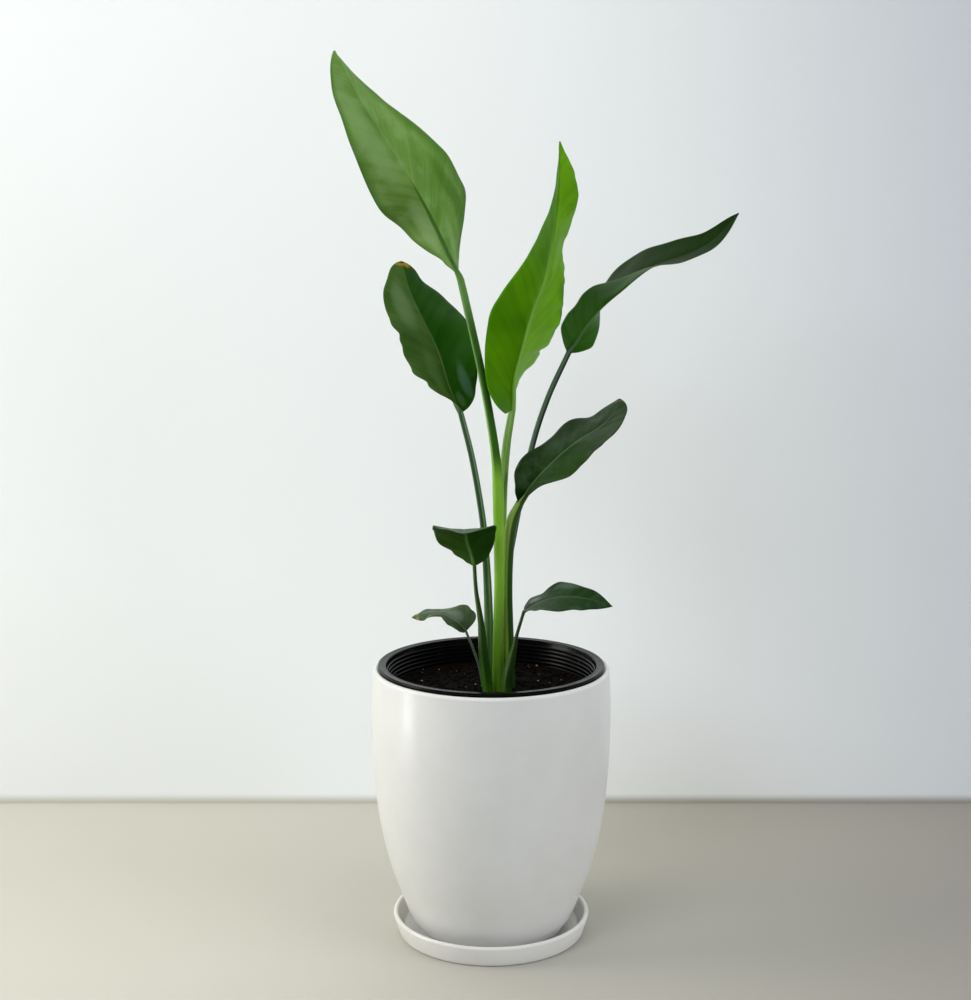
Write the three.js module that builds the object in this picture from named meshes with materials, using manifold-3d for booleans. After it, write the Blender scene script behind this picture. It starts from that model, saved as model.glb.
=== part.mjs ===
// A young bird of paradise in an 8 inch nursery pot, hung by its rim in a glazed cover pot on a saucer.
// Millimetres, +Z up. The origin is the middle of the saucer's flat underside, on the pots' axis.
import * as THREE from "three";
import { mergeVertices } from "three/addons/utils/BufferGeometryUtils.js";
import Module from "manifold-3d";

// Fits between pieces that touch
const restGap = 0.3;
const soilGap = 0.3;
const stemGap = 0.5;

// Nursery pot: a flange that rests on the cover pot's lip, ribs under it, a tapered wall, a pierced floor
const nurseryFlangeRadius = 100;
const nurseryFlangeWidth = 7.5;
const nurseryFlangeThickness = 2.7;
const nurseryMouthRound = 1.2;
const nurseryDepth = 195;
const nurseryTaper = 21.5;
const nurseryWall = 1.6;
const nurseryFootCorner = 3;
const ribCount = 5;
const ribPitch = 3.6;
const ribDepth = 0.9;
const ribStart = 3.5;
const drainHoleCount = 8;
const drainHoleRadius = 5;
const drainHoleInset = 19;

// Cover pot: its mouth is a seat for the flange, its wall swells below the lip and draws in to the foot.
// swell: outer radius against the rim's, at shares of the height.
const flangeSeat = 1.7;
const coverWall = 6;
const coverFloor = 8;
const hangClearance = 37.7;
const coverFootInset = 42.3;
const coverDrainRadius = 9;
const coverSwell = [
  [-38.2, 0.033],
  [-30.7, 0.082],
  [-23, 0.165],
  [-12.8, 0.288],
  [-4.3, 0.453],
  [0.4, 0.658],
  [1.4, 0.844],
];

// Saucer: flat underside, near-upright wall that stands clear of the cover pot's foot, rolled lip
const saucerHeight = 19;
const saucerReach = 25.8;
const saucerDraft = 4.3;
const saucerFloor = 5;
const saucerWall = 4.4;
const saucerFootRound = 3;
const saucerCorner = 2;

// Potting mix and the crown buried in it. The plant's own heights start at the mix's surface.
const soilBelowMouth = 22;
const stemFoot = -13;
const crownHeight = 17;
const crownRadius = 21;
const crownShoulder = 2;
const crownCentre = [5, -4];

// Leaf blades: blade thickness, the extra depth of the midrib, its half width, the tip's half width
const bladeThickness = 1.1;
const midribDepth = 1.5;
const midribSpread = 0.2;
const tipHalfWidth = 0.5;

// Facets
const roundFacets = 48;
const stemFacets = 8;
const stemSteps = 12;
const bladeAcross = 6;
const bladeAlong = 15;

// Each leaf, base to tip. spine: the midrib's points. upward: where the upper side looks.
// half: widest half widths left and right of the midrib, seen from above. widestAt: share of the length.
// heel, point, blunt: how full the base and the tip are. margin: bumps and nicks in the outline, each with
// its side (-1 left, 1 right), its share of the length, its depth and its spread. twist, foldLeft, foldRight
// and curl: degrees at even steps along the blade. stem: the petiole's points from the crown up, with radii.
const leaves = [
  {
    name: "tall_left",
    stemLook: "brightStem",
    bladeLook: "paleLeaf",
    spine: [
      [-26, -44, 360], [-35, -50, 378], [-50, -62, 410], [-65, -75, 437],
      [-84, -90, 467], [-104, -103, 500], [-121, -112, 534],
    ],
    upward: [0.4, 0.9, 0.3],
    half: [49, 33],
    widestAt: 0.39,
    heel: 1.5,
    point: 1.8,
    blunt: 0.9,
    margin: [
      [1, 0.05, -3, 0.04], [1, 0.14, -5, 0.04], [1, 0.25, 2, 0.04], [1, 0.81, -2.5, 0.06],
      [1, 0.97, 1.5, 0.04], [-1, 0.06, 3, 0.04], [-1, 0.18, -3, 0.04], [-1, 0.3, 4.5, 0.045],
      [-1, 0.48, 2, 0.08], [-1, 0.75, -2.8, 0.08], [-1, 0.97, -2, 0.04],
    ],
    twist: [30, 30, 55, 60],
    foldLeft: [85, 45, 35, 55],
    foldRight: [85, 30, -5, 20],
    curl: 0,
    stem: [
      [6, -10, stemFoot, 5.5], [6, -12, 46, 4.6], [7, -14, 100, 4.3], [6, -18, 170, 4.8],
      [3, -22, 214, 3.8], [-7, -30, 274, 3.3], [-20, -40, 334, 3.2],
    ],
    neck: 3,
  },
  {
    name: "middle_left",
    stemLook: "darkStem",
    bladeLook: "darkLeaf",
    spine: [
      [-26, 8, 243], [-36, 16, 263], [-45, 25, 291], [-58, 36, 320], [-70, 47, 344], [-79, 58, 372],
    ],
    upward: [0.3, -0.85, 0.4],
    half: [36, 34],
    widestAt: 0.5,
    heel: 2,
    point: 2.2,
    blunt: 0.55,
    margin: [
      [-1, 0.18, -1.5, 0.04], [-1, 0.25, -4.5, 0.025], [-1, 0.31, 2.5, 0.03], [-1, 0.55, -3, 0.025],
      [-1, 0.49, -2, 0.03], [-1, 0.61, 1.5, 0.03], [-1, 0.9, -6, 0.08], [1, 0.13, -1.2, 0.05],
      [1, 0.89, -6.5, 0.06],
    ],
    twist: [25, -10, 10, 20],
    foldLeft: [45, 30, 10, 0],
    foldRight: [30, 35, 0, -15],
    curl: 0,
    stem: [
      [-3, -3, stemFoot, 4.2], [-2, -2, 39, 4], [-3, -1, 88, 3.6], [-6, 1, 136, 3],
      [-10, 3, 167, 2.8], [-17, 6, 205, 2.7],
    ],
    neck: 2.5,
  },
  {
    name: "centre_young",
    stemLook: "brightStem",
    bladeLook: "youngLeaf",
    spine: [
      [17, -15, 248], [18.5, -20, 274], [26, -26, 303], [34.5, -32, 331], [44, -38, 356],
      [49, -44, 381], [53, -50, 411], [55, -54, 439], [55, -56, 469],
    ],
    upward: [0.2, 0.95, 0.2],
    half: [50, 32],
    widestAt: 0.2,
    heel: 4,
    point: 1.3,
    blunt: 1,
    margin: [
      [-1, 0.06, -7, 0.05], [-1, 0.12, -6, 0.012], [-1, 0.165, 5, 0.02], [-1, 0.205, -5.5, 0.009],
      [-1, 0.25, 1.5, 0.02], [-1, 0.31, -1.5, 0.01], [-1, 0.45, -3.5, 0.09], [-1, 0.51, -2.5, 0.015],
      [-1, 0.57, -4, 0.03], [-1, 0.61, -5, 0.03], [1, 0.33, 2, 0.05], [1, 0.78, -4, 0.07],
    ],
    twist: [70, 25, 15, -25],
    foldLeft: [30, 40, 65, 30],
    foldRight: [-20, 25, 65, 45],
    curl: 0,
    stem: [
      [7, 6, stemFoot, 5], [9, 5, 60, 4.4], [9, 4, 123, 4.2], [10, 0, 176, 4], [13, -7, 216, 3.6],
    ],
    neck: 3,
  },
  {
    name: "upper_right",
    stemLook: "darkStem",
    bladeLook: "darkLeaf",
    spine: [
      [67, 22, 294], [77, 20, 311], [92, 16, 331], [110, 12, 347], [135, 8, 367],
      [161, 6, 377], [186, 6, 389], [210, 8, 413],
    ],
    upward: [-0.45, -0.1, 0.85],
    half: [38, 36],
    widestAt: 0.47,
    heel: 1.5,
    point: 0.7,
    blunt: 0.85,
    margin: [
      [-1, 0.34, 3, 0.035], [-1, 0.1, 2, 0.04], [-1, 0.65, -3.5, 0.08], [1, 0.12, 2, 0.04],
      [1, 0.25, -3, 0.04], [1, 0.39, 5.5, 0.05], [1, 0.8, -3, 0.06],
    ],
    twist: [-65, -15, 10, 30],
    foldLeft: [-30, 20, 15, 20],
    foldRight: [10, 25, 10, 0],
    curl: 0,
    stem: [
      [17, 11, stemFoot, 4], [15, 11, 40, 3.2], [15, 12, 99, 2.8], [20, 15, 135, 2.7],
      [35, 22, 208, 2.6], [49, 22, 253, 2.5],
    ],
    neck: 2.4,
  },
  {
    name: "middle_right",
    stemLook: "darkStem",
    bladeLook: "darkLeaf",
    spine: [
      [24, -14, 167], [33, -13, 181], [46, -10, 196], [61, -6, 210], [76, -2, 221],
      [94, 3, 232], [105, 7, 243], [111, 10, 255],
    ],
    upward: [-0.5, -0.65, 0.6],
    half: [34, 35],
    widestAt: 0.54,
    heel: 1.5,
    point: 1.5,
    blunt: 0.6,
    margin: [
      [1, 0.18, -4.5, 0.06], [1, 0.33, 2, 0.05], [1, 0.44, -1.3, 0.04], [1, 0.6, 2.5, 0.04],
      [1, 0.82, -3, 0.1], [-1, 0.1, -2.5, 0.04], [-1, 0.38, -1.5, 0.05], [-1, 0.73, -4.5, 0.09],
    ],
    twist: [20, -5, -15, -20],
    foldLeft: [75, 0, 0, -15],
    foldRight: [65, 5, 10, 0],
    curl: 0,
    stem: [
      [16, -4, stemFoot, 5], [15, -4, 44, 4.6], [14, -5, 89, 4.4], [15, -6, 125, 4.7], [18, -9, 150, 5],
    ],
    neck: 3.6,
  },
  {
    name: "small_left",
    stemLook: "darkStem",
    bladeLook: "darkLeaf",
    spine: [
      [-14.5, -24, 115], [-17.5, -26, 127], [-20.5, -30, 137], [-22, -36, 146], [-23, -45, 150],
      [-23, -60, 152], [-23, -82, 153],
    ],
    upward: [0, 0.6, 0.8],
    half: [27, 28],
    widestAt: 0.45,
    heel: 1.8,
    point: 1.5,
    blunt: 0.7,
    margin: [
      [1, 0.08, -4, 0.05], [1, 0.3, 1, 0.08], [1, 0.18, -2.5, 0.04], [-1, 0.03, 2, 0.05],
      [-1, 0.38, -1.5, 0.08],
    ],
    twist: [0, 0, 0, 0],
    foldLeft: [10, 5, 0, 0],
    foldRight: [10, 5, 0, 0],
    curl: 10,
    stem: [
      [-1, -18, stemFoot, 4], [-4, -19, 13, 4.4], [-7, -20, 39, 4.1], [-9, -21, 64, 2.7],
      [-13, -22, 91, 1.8],
    ],
    neck: 1.6,
  },
  {
    name: "lowest_left",
    stemLook: "darkStem",
    bladeLook: "darkLeaf",
    spine: [
      [-22, -4, 52], [-28, -4, 59], [-36, -2, 64], [-45, 1, 67], [-56, 5, 66], [-70, 9, 61],
    ],
    upward: [0.2, -0.3, 0.9],
    half: [15, 19],
    widestAt: 0.31,
    heel: 2.6,
    point: 1.4,
    blunt: 0.8,
    margin: [
      [-1, 0.05, -2.5, 0.04], [-1, 0.33, 2, 0.05], [-1, 0.5, -4, 0.05], [-1, 0.67, 3, 0.05],
      [1, 0.2, -1.5, 0.05], [1, 0.45, -0.5, 0.06], [1, 0.63, 2, 0.04], [1, 0.77, -2.5, 0.06],
      [1, 0.92, -2.5, 0.04],
    ],
    twist: [-20, -5, 10, -30],
    foldLeft: [30, 15, 0, -30],
    foldRight: [40, 15, -5, -15],
    curl: 0,
    stem: [
      [-6, 4, stemFoot, 1.6], [-8, 2, 6, 1.4], [-12, 0, 24, 1.2],
    ],
    neck: 1.1,
  },
  {
    name: "lowest_right",
    stemLook: "darkStem",
    bladeLook: "darkLeaf",
    spine: [
      [28, -22, 74], [40, -22, 82], [55, -21, 86], [71, -20, 86], [88, -19, 83], [105, -18, 77],
    ],
    upward: [0, -0.4, 0.9],
    half: [21, 26],
    widestAt: 0.3,
    heel: 2.3,
    point: 0.8,
    blunt: 0.9,
    margin: [
      [-1, 0.12, 2, 0.05], [-1, 0.29, -4, 0.06], [-1, 0.47, 1.5, 0.05], [-1, 0.7, -1.3, 0.08],
      [1, 0.09, -5, 0.04], [1, 0.2, -2, 0.04], [1, 0.67, 2, 0.07],
    ],
    twist: [-25, -10, 10, 40],
    foldLeft: [0, -5, 15, 15],
    foldRight: [15, 0, 10, -10],
    curl: 0,
    stem: [
      [12, -19, stemFoot, 5], [14, -20, 13, 4.5], [17, -20, 27, 3.9], [20, -21, 41, 2.4], [22, -22, 52, 1.5],
    ],
    neck: 1.4,
  },
];

const materials = {
  glaze: { color: 0xe9e8e2, roughness: 0.28, metalness: 0 },
  plastic: { color: 0x131414, roughness: 0.3, metalness: 0 },
  soil: { color: 0x17120f, roughness: 0.95, metalness: 0 },
  crown: { color: 0x8b6a45, roughness: 0.8, metalness: 0 },
  paleLeaf: { color: 0x6f9455, roughness: 0.45, metalness: 0 },
  youngLeaf: { color: 0x4f8208, roughness: 0.42, metalness: 0 },
  darkLeaf: { color: 0x2c4a22, roughness: 0.35, metalness: 0 },
  brightStem: { color: 0x6ea014, roughness: 0.4, metalness: 0 },
  darkStem: { color: 0x4a6b3a, roughness: 0.42, metalness: 0 },
};

const wasm = await Module();
wasm.setup();

const group = new THREE.Group();

function addMesh(name, geometry, material) {
  const mesh = new THREE.Mesh(geometry, new THREE.MeshStandardMaterial(materials[material]));
  mesh.name = name;
  group.add(mesh);
  return mesh;
}

// A closed geometry as a solid for the boolean cuts
function toSolid(geometry) {
  const bare = geometry.clone();
  bare.deleteAttribute("normal");
  bare.deleteAttribute("uv");
  const merged = mergeVertices(bare, 1e-4);
  return new wasm.Manifold(new wasm.Mesh({
    numProp: 3,
    vertProperties: merged.attributes.position.array,
    triVerts: new Uint32Array(merged.index.array),
  }));
}

function fromSolid(solid) {
  const mesh = solid.getMesh();
  const geometry = new THREE.BufferGeometry();
  geometry.setAttribute("position", new THREE.BufferAttribute(mesh.vertProperties, 3));
  geometry.setIndex(new THREE.BufferAttribute(mesh.triVerts, 1));
  geometry.computeVertexNormals();
  return geometry;
}

// Turns a closed outline of [radius, height] points, listed anticlockwise, about the vertical axis
function turned(outline) {
  const points = outline.map(([radius, height]) => new THREE.Vector2(radius, height));
  points.push(points[0].clone());
  const geometry = new THREE.LatheGeometry(points, roundFacets);
  geometry.rotateX(Math.PI / 2);
  return geometry;
}

// A quarter or half round between two angles in degrees, as outline points
function arc(centreRadius, centreHeight, size, from, to, steps) {
  const points = [];
  for (let i = 0; i <= steps; i++) {
    const angle = THREE.MathUtils.degToRad(from + ((to - from) * i) / steps);
    points.push([centreRadius + size * Math.cos(angle), centreHeight + size * Math.sin(angle)]);
  }
  return points;
}

// Heights that follow from how the pots stand and hang in each other
const coverBase = saucerFloor + restGap;
const flangeUnder = coverBase + coverFloor + hangClearance + nurseryDepth - nurseryFlangeThickness;
const coverTop = flangeUnder - restGap;
const nurseryTop = flangeUnder + nurseryFlangeThickness;
const nurseryBottom = nurseryTop - nurseryDepth;
const soilTop = nurseryTop - soilBelowMouth;

// Radii that follow from the flange
const nurseryMouthRadius = nurseryFlangeRadius - nurseryFlangeWidth;
const nurseryFloorRadius = nurseryMouthRadius - nurseryTaper;
const coverRimRadius = nurseryFlangeRadius - flangeSeat + coverWall;
const coverFootRadius = coverRimRadius - coverFootInset;
const saucerRimRadius = coverFootRadius + saucerReach;
const saucerFootRadius = saucerRimRadius - saucerDraft;

// Saucer
const saucerLip = saucerWall / 2;
addMesh("saucer", turned([
  [0, 0],
  ...arc(saucerFootRadius - saucerFootRound, saucerFootRound, saucerFootRound, -90, -10, 3),
  ...arc(saucerRimRadius - saucerLip, saucerHeight - saucerLip, saucerLip, 0, 180, 4),
  ...arc(saucerFootRadius - saucerWall - saucerCorner, saucerFloor + saucerCorner, saucerCorner, 0, -90, 2),
  [0, saucerFloor],
]), "glaze");

// Cover pot
const coverLip = coverWall / 2;
const coverOutside = coverSwell.map(([more, share]) => [coverRimRadius + more, share * coverTop]);
const coverInside = coverOutside
  .slice(1)
  .reverse()
  .map(([radius, height]) => [radius - coverWall, height]);
addMesh("cover_pot", turned([
  [coverDrainRadius, coverBase],
  [coverFootRadius, coverBase],
  ...coverOutside,
  ...arc(coverRimRadius - coverLip, coverTop - coverLip, coverLip, 0, 180, 4),
  ...coverInside,
  [coverFootRadius - coverWall / 2, coverBase + coverFloor],
  [coverDrainRadius, coverBase + coverFloor],
]), "glaze");

// Radius of the nursery pot's inner wall at a height
function nurseryInside(height) {
  const share = (height - nurseryBottom) / nurseryDepth;
  return nurseryFloorRadius + nurseryTaper * share;
}

// Nursery pot
const ribbedDepth = ribStart + ribCount * ribPitch;
const ribs = [];
for (let i = 0; i < ribCount; i++) {
  const height = nurseryTop - ribStart - i * ribPitch;
  ribs.push([nurseryInside(height), height]);
  ribs.push([nurseryInside(height) - ribDepth, height - ribPitch / 2]);
}
const flangeRound = nurseryFlangeThickness / 2;
const footCorner = nurseryBottom + nurseryFootCorner;
const nurserySolid = toSolid(turned([
  [0, nurseryBottom],
  [nurseryFloorRadius + nurseryWall - nurseryFootCorner / 2, nurseryBottom],
  [nurseryInside(footCorner) + nurseryWall, footCorner],
  [nurseryInside(flangeUnder) + nurseryWall, flangeUnder],
  ...arc(nurseryFlangeRadius - flangeRound, flangeUnder + flangeRound, flangeRound, -90, 90, 4),
  [nurseryMouthRadius + nurseryMouthRound, nurseryTop],
  [nurseryMouthRadius, nurseryTop - nurseryMouthRound],
  ...ribs,
  [nurseryInside(nurseryTop - ribbedDepth), nurseryTop - ribbedDepth],
  [nurseryFloorRadius, nurseryBottom + nurseryWall],
  [0, nurseryBottom + nurseryWall],
]));
const drainHoleCircle = nurseryFloorRadius - drainHoleInset;
const drainHoles = [];
for (let i = 0; i < drainHoleCount; i++) {
  const hole = new THREE.CylinderGeometry(drainHoleRadius, drainHoleRadius, 4 * nurseryWall, 10);
  hole.rotateX(Math.PI / 2);
  const angle = (2 * Math.PI * i) / drainHoleCount;
  hole.translate(drainHoleCircle * Math.cos(angle), drainHoleCircle * Math.sin(angle), nurseryBottom);
  drainHoles.push(toSolid(hole));
}
addMesh("nursery_pot", fromSolid(nurserySolid.subtract(wasm.Manifold.union(drainHoles))), "plastic");

// Smooth numbers along a blade or stem, from values at even steps
function along(values, share) {
  const curve = new THREE.CatmullRomCurve3(
    values.map((value) => new THREE.Vector3(value, 0, 0)), false, "catmullrom", 0.5);
  return curve.getPoint(share).x;
}

function curveThrough(points) {
  return new THREE.CatmullRomCurve3(
    points.map(([x, y, z]) => new THREE.Vector3(x, y, z)), false, "catmullrom", 0.5);
}

// Share of the widest half width at a share of the length: a rounded base, then a fine tip
function bladeShape(leaf, share) {
  if (share < leaf.widestAt) {
    const left = 1 - share / leaf.widestAt;
    return Math.pow(1 - Math.pow(left, leaf.heel), 1 / leaf.heel);
  }
  const past = (share - leaf.widestAt) / (1 - leaf.widestAt);
  return Math.pow(Math.max(0, Math.cos((Math.PI / 2) * Math.pow(past, leaf.point))), leaf.blunt);
}

// A point of the blade's middle surface. side runs from -1 at the left edge to 1 at the right edge.
function bladePoint(leaf, spine, side, share) {
  const centre = spine.getPoint(share);
  const forward = spine.getTangent(share);
  const up = new THREE.Vector3(...leaf.upward);
  up.addScaledVector(forward, -up.dot(forward)).normalize();
  up.applyAxisAngle(forward, THREE.MathUtils.degToRad(along(leaf.twist, share)));
  const across = new THREE.Vector3().crossVectors(forward, up);
  const right = side > 0;
  const least = THREE.MathUtils.lerp(leaf.neck, tipHalfWidth, share);
  let half = leaf.half[right ? 1 : 0] * bladeShape(leaf, share);
  for (const [edge, place, more, spread] of leaf.margin) {
    if (side * edge > 0) half += more * Math.exp(-Math.pow((share - place) / spread, 2));
  }
  half = Math.max(half, least);
  const fold = THREE.MathUtils.degToRad(along(right ? leaf.foldRight : leaf.foldLeft, share));
  const reach = Math.abs(side);
  const lean = fold + THREE.MathUtils.degToRad(leaf.curl) * reach * 0.5;
  centre.addScaledVector(across, Math.sign(side) * half * reach * Math.cos(lean));
  centre.addScaledVector(up, half * reach * Math.sin(lean));
  return centre;
}

// A thin closed shell: a box whose corners are moved onto the blade
function bladeGeometry(leaf) {
  const spine = curveThrough(leaf.spine);
  const geometry = new THREE.BoxGeometry(2, 1, 1, bladeAcross, bladeAlong, 1);
  const position = geometry.attributes.position;
  const small = 0.01;
  for (let i = 0; i < position.count; i++) {
    const raw = position.getX(i);
    const side = Math.sign(raw) * Math.pow(Math.abs(raw), 1.35);
    const share = position.getY(i) + 0.5;
    const layer = position.getZ(i);
    const here = bladePoint(leaf, spine, side, share);
    const low = Math.max(share - small, 0);
    const high = Math.min(share + small, 1);
    const lengthwise = bladePoint(leaf, spine, side, high).sub(bladePoint(leaf, spine, side, low));
    const nearRight = bladePoint(leaf, spine, side + small, share);
    const crosswise = nearRight.sub(bladePoint(leaf, spine, side - small, share));
    const normal = crosswise.cross(lengthwise).normalize();
    const fade = Math.exp(-Math.pow(side / midribSpread, 2)) * (1 - 0.8 * share);
    const rib = layer < 0 ? midribDepth * fade : 0;
    here.addScaledVector(normal, layer * bladeThickness - rib);
    position.setXYZ(i, here.x, here.y, here.z);
  }
  geometry.computeVertexNormals();
  return geometry;
}

// A round tapered tube with closed ends: a cylinder whose rings are moved onto the stem's line
function stemGeometry(leaf, extra) {
  const spine = curveThrough(leaf.spine);
  const end = spine.getPoint(0).addScaledVector(spine.getTangent(0), -stemGap - midribDepth * 0.3);
  const points = [...leaf.stem, [end.x, end.y, end.z, leaf.neck]];
  const line = curveThrough(points);
  const radii = points.map((point) => point[3]);
  const geometry = new THREE.CylinderGeometry(1, 1, 1, stemFacets, stemSteps);
  const position = geometry.attributes.position;
  for (let i = 0; i < position.count; i++) {
    const share = position.getY(i) + 0.5;
    const centre = line.getPoint(share);
    const forward = line.getTangent(share);
    const across = new THREE.Vector3(1, 0, 0);
    across.addScaledVector(forward, -forward.x).normalize();
    const away = new THREE.Vector3().crossVectors(across, forward);
    const radius = along(radii, share) + extra;
    centre.addScaledVector(across, radius * position.getX(i));
    centre.addScaledVector(away, radius * position.getZ(i));
    if (share === 0) centre.z = stemFoot - extra;
    position.setXYZ(i, centre.x, centre.y, centre.z);
  }
  geometry.computeVertexNormals();
  return geometry;
}

// Crown: a squat rhizome under the petioles, its top cut flat below their ends
const crownTop = stemFoot - restGap;
function crownGeometry(extra) {
  const outline = [];
  const steps = 5;
  for (let i = 0; i <= steps; i++) {
    const angle = (Math.PI / 2) * (i / steps);
    const radius = (crownRadius + extra) * Math.sin(angle);
    outline.push([radius, crownTop - crownShoulder - (crownHeight + extra) * Math.cos(angle)]);
  }
  if (extra > 0) outline.push([crownRadius + extra, crownTop - crownShoulder + extra]);
  outline.push([crownRadius - crownShoulder + extra, crownTop + extra]);
  outline.push([0, crownTop + extra]);
  const geometry = turned(outline);
  geometry.translate(crownCentre[0], crownCentre[1], 0);
  return geometry;
}

// Potting mix, its surface slightly dished, with pockets for the crown and the petioles
const mixBottom = nurseryBottom + nurseryWall + soilGap;
const mixTopRadius = nurseryInside(soilTop) - ribDepth - 2 * soilGap;
const ribsEnd = nurseryTop - ribbedDepth - ribPitch;
const mixSolid = toSolid(turned([
  [0, mixBottom],
  [nurseryFloorRadius - 2 * soilGap, mixBottom],
  [nurseryInside(ribsEnd) - ribDepth - 2 * soilGap, ribsEnd],
  [mixTopRadius, soilTop - 1],
  [mixTopRadius * 0.75, soilTop + 0.4],
  [mixTopRadius * 0.45, soilTop - 0.8],
  [0, soilTop + 0.8],
]));
const pockets = [crownGeometry(soilGap), ...leaves.map((leaf) => stemGeometry(leaf, soilGap))];
for (const pocket of pockets) pocket.translate(0, 0, soilTop);
const pocketSolid = wasm.Manifold.union(pockets.map(toSolid));
addMesh("potting_mix", fromSolid(mixSolid.subtract(pocketSolid)), "soil");

// The plant stands in its own group, on the potting mix's surface
const plant = new THREE.Group();
plant.position.z = soilTop;
group.add(plant);
plant.add(addMesh("crown", crownGeometry(0), "crown"));
for (const leaf of leaves) {
  plant.add(addMesh(`stem_${leaf.name}`, stemGeometry(leaf, 0), leaf.stemLook));
  plant.add(addMesh(`blade_${leaf.name}`, bladeGeometry(leaf), leaf.bladeLook));
}

export default group;
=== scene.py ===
import math
import random

import bpy
import numpy as np
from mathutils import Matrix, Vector, noise


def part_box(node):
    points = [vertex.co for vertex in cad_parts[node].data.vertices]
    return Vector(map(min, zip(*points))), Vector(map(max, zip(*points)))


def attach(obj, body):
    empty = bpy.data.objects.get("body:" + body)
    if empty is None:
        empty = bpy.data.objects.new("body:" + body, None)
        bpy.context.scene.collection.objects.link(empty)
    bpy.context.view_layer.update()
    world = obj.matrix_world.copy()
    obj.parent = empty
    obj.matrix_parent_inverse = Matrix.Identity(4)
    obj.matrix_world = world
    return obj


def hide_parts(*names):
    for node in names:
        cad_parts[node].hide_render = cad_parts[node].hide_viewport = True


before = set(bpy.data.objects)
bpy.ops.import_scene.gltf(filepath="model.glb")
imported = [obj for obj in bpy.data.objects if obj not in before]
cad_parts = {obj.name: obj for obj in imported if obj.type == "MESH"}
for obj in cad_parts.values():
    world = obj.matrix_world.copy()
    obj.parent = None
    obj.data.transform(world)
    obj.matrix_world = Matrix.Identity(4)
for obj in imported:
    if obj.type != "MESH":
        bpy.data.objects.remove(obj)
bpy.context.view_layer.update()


# ---------------- saucer
# The saucer is a shallow round dish of white glazed stoneware, thrown in one piece.
# It stands on its flat underside; the cover pot stands loose on its floor.

class Wire:
    """The output of a shader node, which can be used in sums."""

    def __init__(self, finish, socket):
        self.finish = finish
        self.socket = socket

    def sum(self, operation, first, second=None):
        sockets = {0: first}
        if second is not None:
            sockets[1] = second
        return self.finish.node("ShaderNodeMath", {"operation": operation}, sockets)

    def __add__(self, other):
        return self.sum("ADD", self, other)

    def __radd__(self, other):
        return self.sum("ADD", other, self)

    def __sub__(self, other):
        return self.sum("SUBTRACT", self, other)

    def __rsub__(self, other):
        return self.sum("SUBTRACT", other, self)

    def __mul__(self, other):
        return self.sum("MULTIPLY", self, other)

    def __rmul__(self, other):
        return self.sum("MULTIPLY", other, self)

    def __pow__(self, other):
        return self.sum("POWER", self, other)

    def __abs__(self):
        return self.sum("ABSOLUTE", self)

    def wave(self):
        return self.sum("SINE", self)

    def step(self, low, high):
        """0 below low, 1 above high, smooth between."""
        return self.finish.node(
            "ShaderNodeMapRange",
            {"interpolation_type": "SMOOTHSTEP"},
            {"Value": self, "From Min": low, "From Max": high, "To Min": 0.0, "To Max": 1.0},
        )


class Finish:
    """A material, written as sums of its nodes."""

    def __init__(self, name):
        self.material = bpy.data.materials.new(name)
        self.material.use_nodes = True
        self.tree = self.material.node_tree
        self.tree.nodes.clear()

    def node(self, kind, settings=None, sockets=None, output=0):
        made = self.tree.nodes.new(kind)
        for key, value in (settings or {}).items():
            setattr(made, key, value)
        for key, value in (sockets or {}).items():
            if isinstance(value, Wire):
                self.tree.links.new(value.socket, made.inputs[key])
            else:
                made.inputs[key].default_value = value
        return Wire(self, made.outputs[output]) if made.outputs else None

    def part(self, vector, which):
        """One of the three numbers of a vector."""
        return self.node("ShaderNodeSeparateXYZ", None, {0: vector}, which)

    def place(self):
        return self.node("ShaderNodeTexCoord", output="Object")

    def noise(self, scale, detail=3.0, where=None, roughness=0.5):
        sockets = {"Scale": scale, "Detail": detail, "Roughness": roughness}
        sockets["Vector"] = where or self.place()
        return self.node("ShaderNodeTexNoise", None, sockets)

    def blend(self, share, first, second):
        """From the first colour to the second, each a wire or (red, green, blue)."""
        ends = [colour if isinstance(colour, Wire) else (*colour, 1.0) for colour in (first, second)]
        return self.node("ShaderNodeMix", {"data_type": "RGBA"}, {0: share, 6: ends[0], 7: ends[1]}, 2)

    def bump(self, height, strength, distance):
        sockets = {"Height": height, "Strength": strength, "Distance": distance}
        return self.node("ShaderNodeBump", None, sockets)

    def coat(self, sockets):
        shader = self.node("ShaderNodeBsdfPrincipled", None, sockets)
        self.node("ShaderNodeOutputMaterial", None, {"Surface": shader})
        return self.material


def edit_new():
    """Edit mode on the piece just added, with all of it selected."""
    bpy.ops.object.mode_set(mode="EDIT")
    bpy.ops.mesh.select_all(action="SELECT")


def deselect_all():
    if bpy.context.object and bpy.context.object.mode == "EDIT":
        bpy.ops.object.mode_set(mode="OBJECT")
    bpy.ops.object.select_all(action="DESELECT")


def throw_ring_by_ring(name, rings, sides):
    """A turned piece: a disc drawn up and over through rings of (radius, height)."""
    deselect_all()
    radius, height = rings[0]
    bpy.ops.mesh.primitive_circle_add(
        vertices=sides, radius=radius, fill_type="NGON", location=(0, 0, height))
    piece = bpy.context.object
    piece.name = name
    bpy.ops.object.transform_apply(location=True)
    edit_new()
    bpy.ops.mesh.flip_normals()
    for next_radius, next_height in rings[1:]:
        bpy.ops.mesh.extrude_region_move(
            TRANSFORM_OT_translate={"value": (0, 0, next_height - height)})
        share = next_radius / radius
        bpy.ops.transform.resize(value=(share, share, 1), center_override=(0, 0, next_height))
        radius, height = next_radius, next_height
    bpy.ops.mesh.select_all(action="SELECT")
    bpy.ops.mesh.normals_make_consistent(inside=False)
    bpy.ops.object.mode_set(mode="OBJECT")
    bpy.ops.object.shade_smooth_by_angle(angle=math.radians(40))
    return piece


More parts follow.
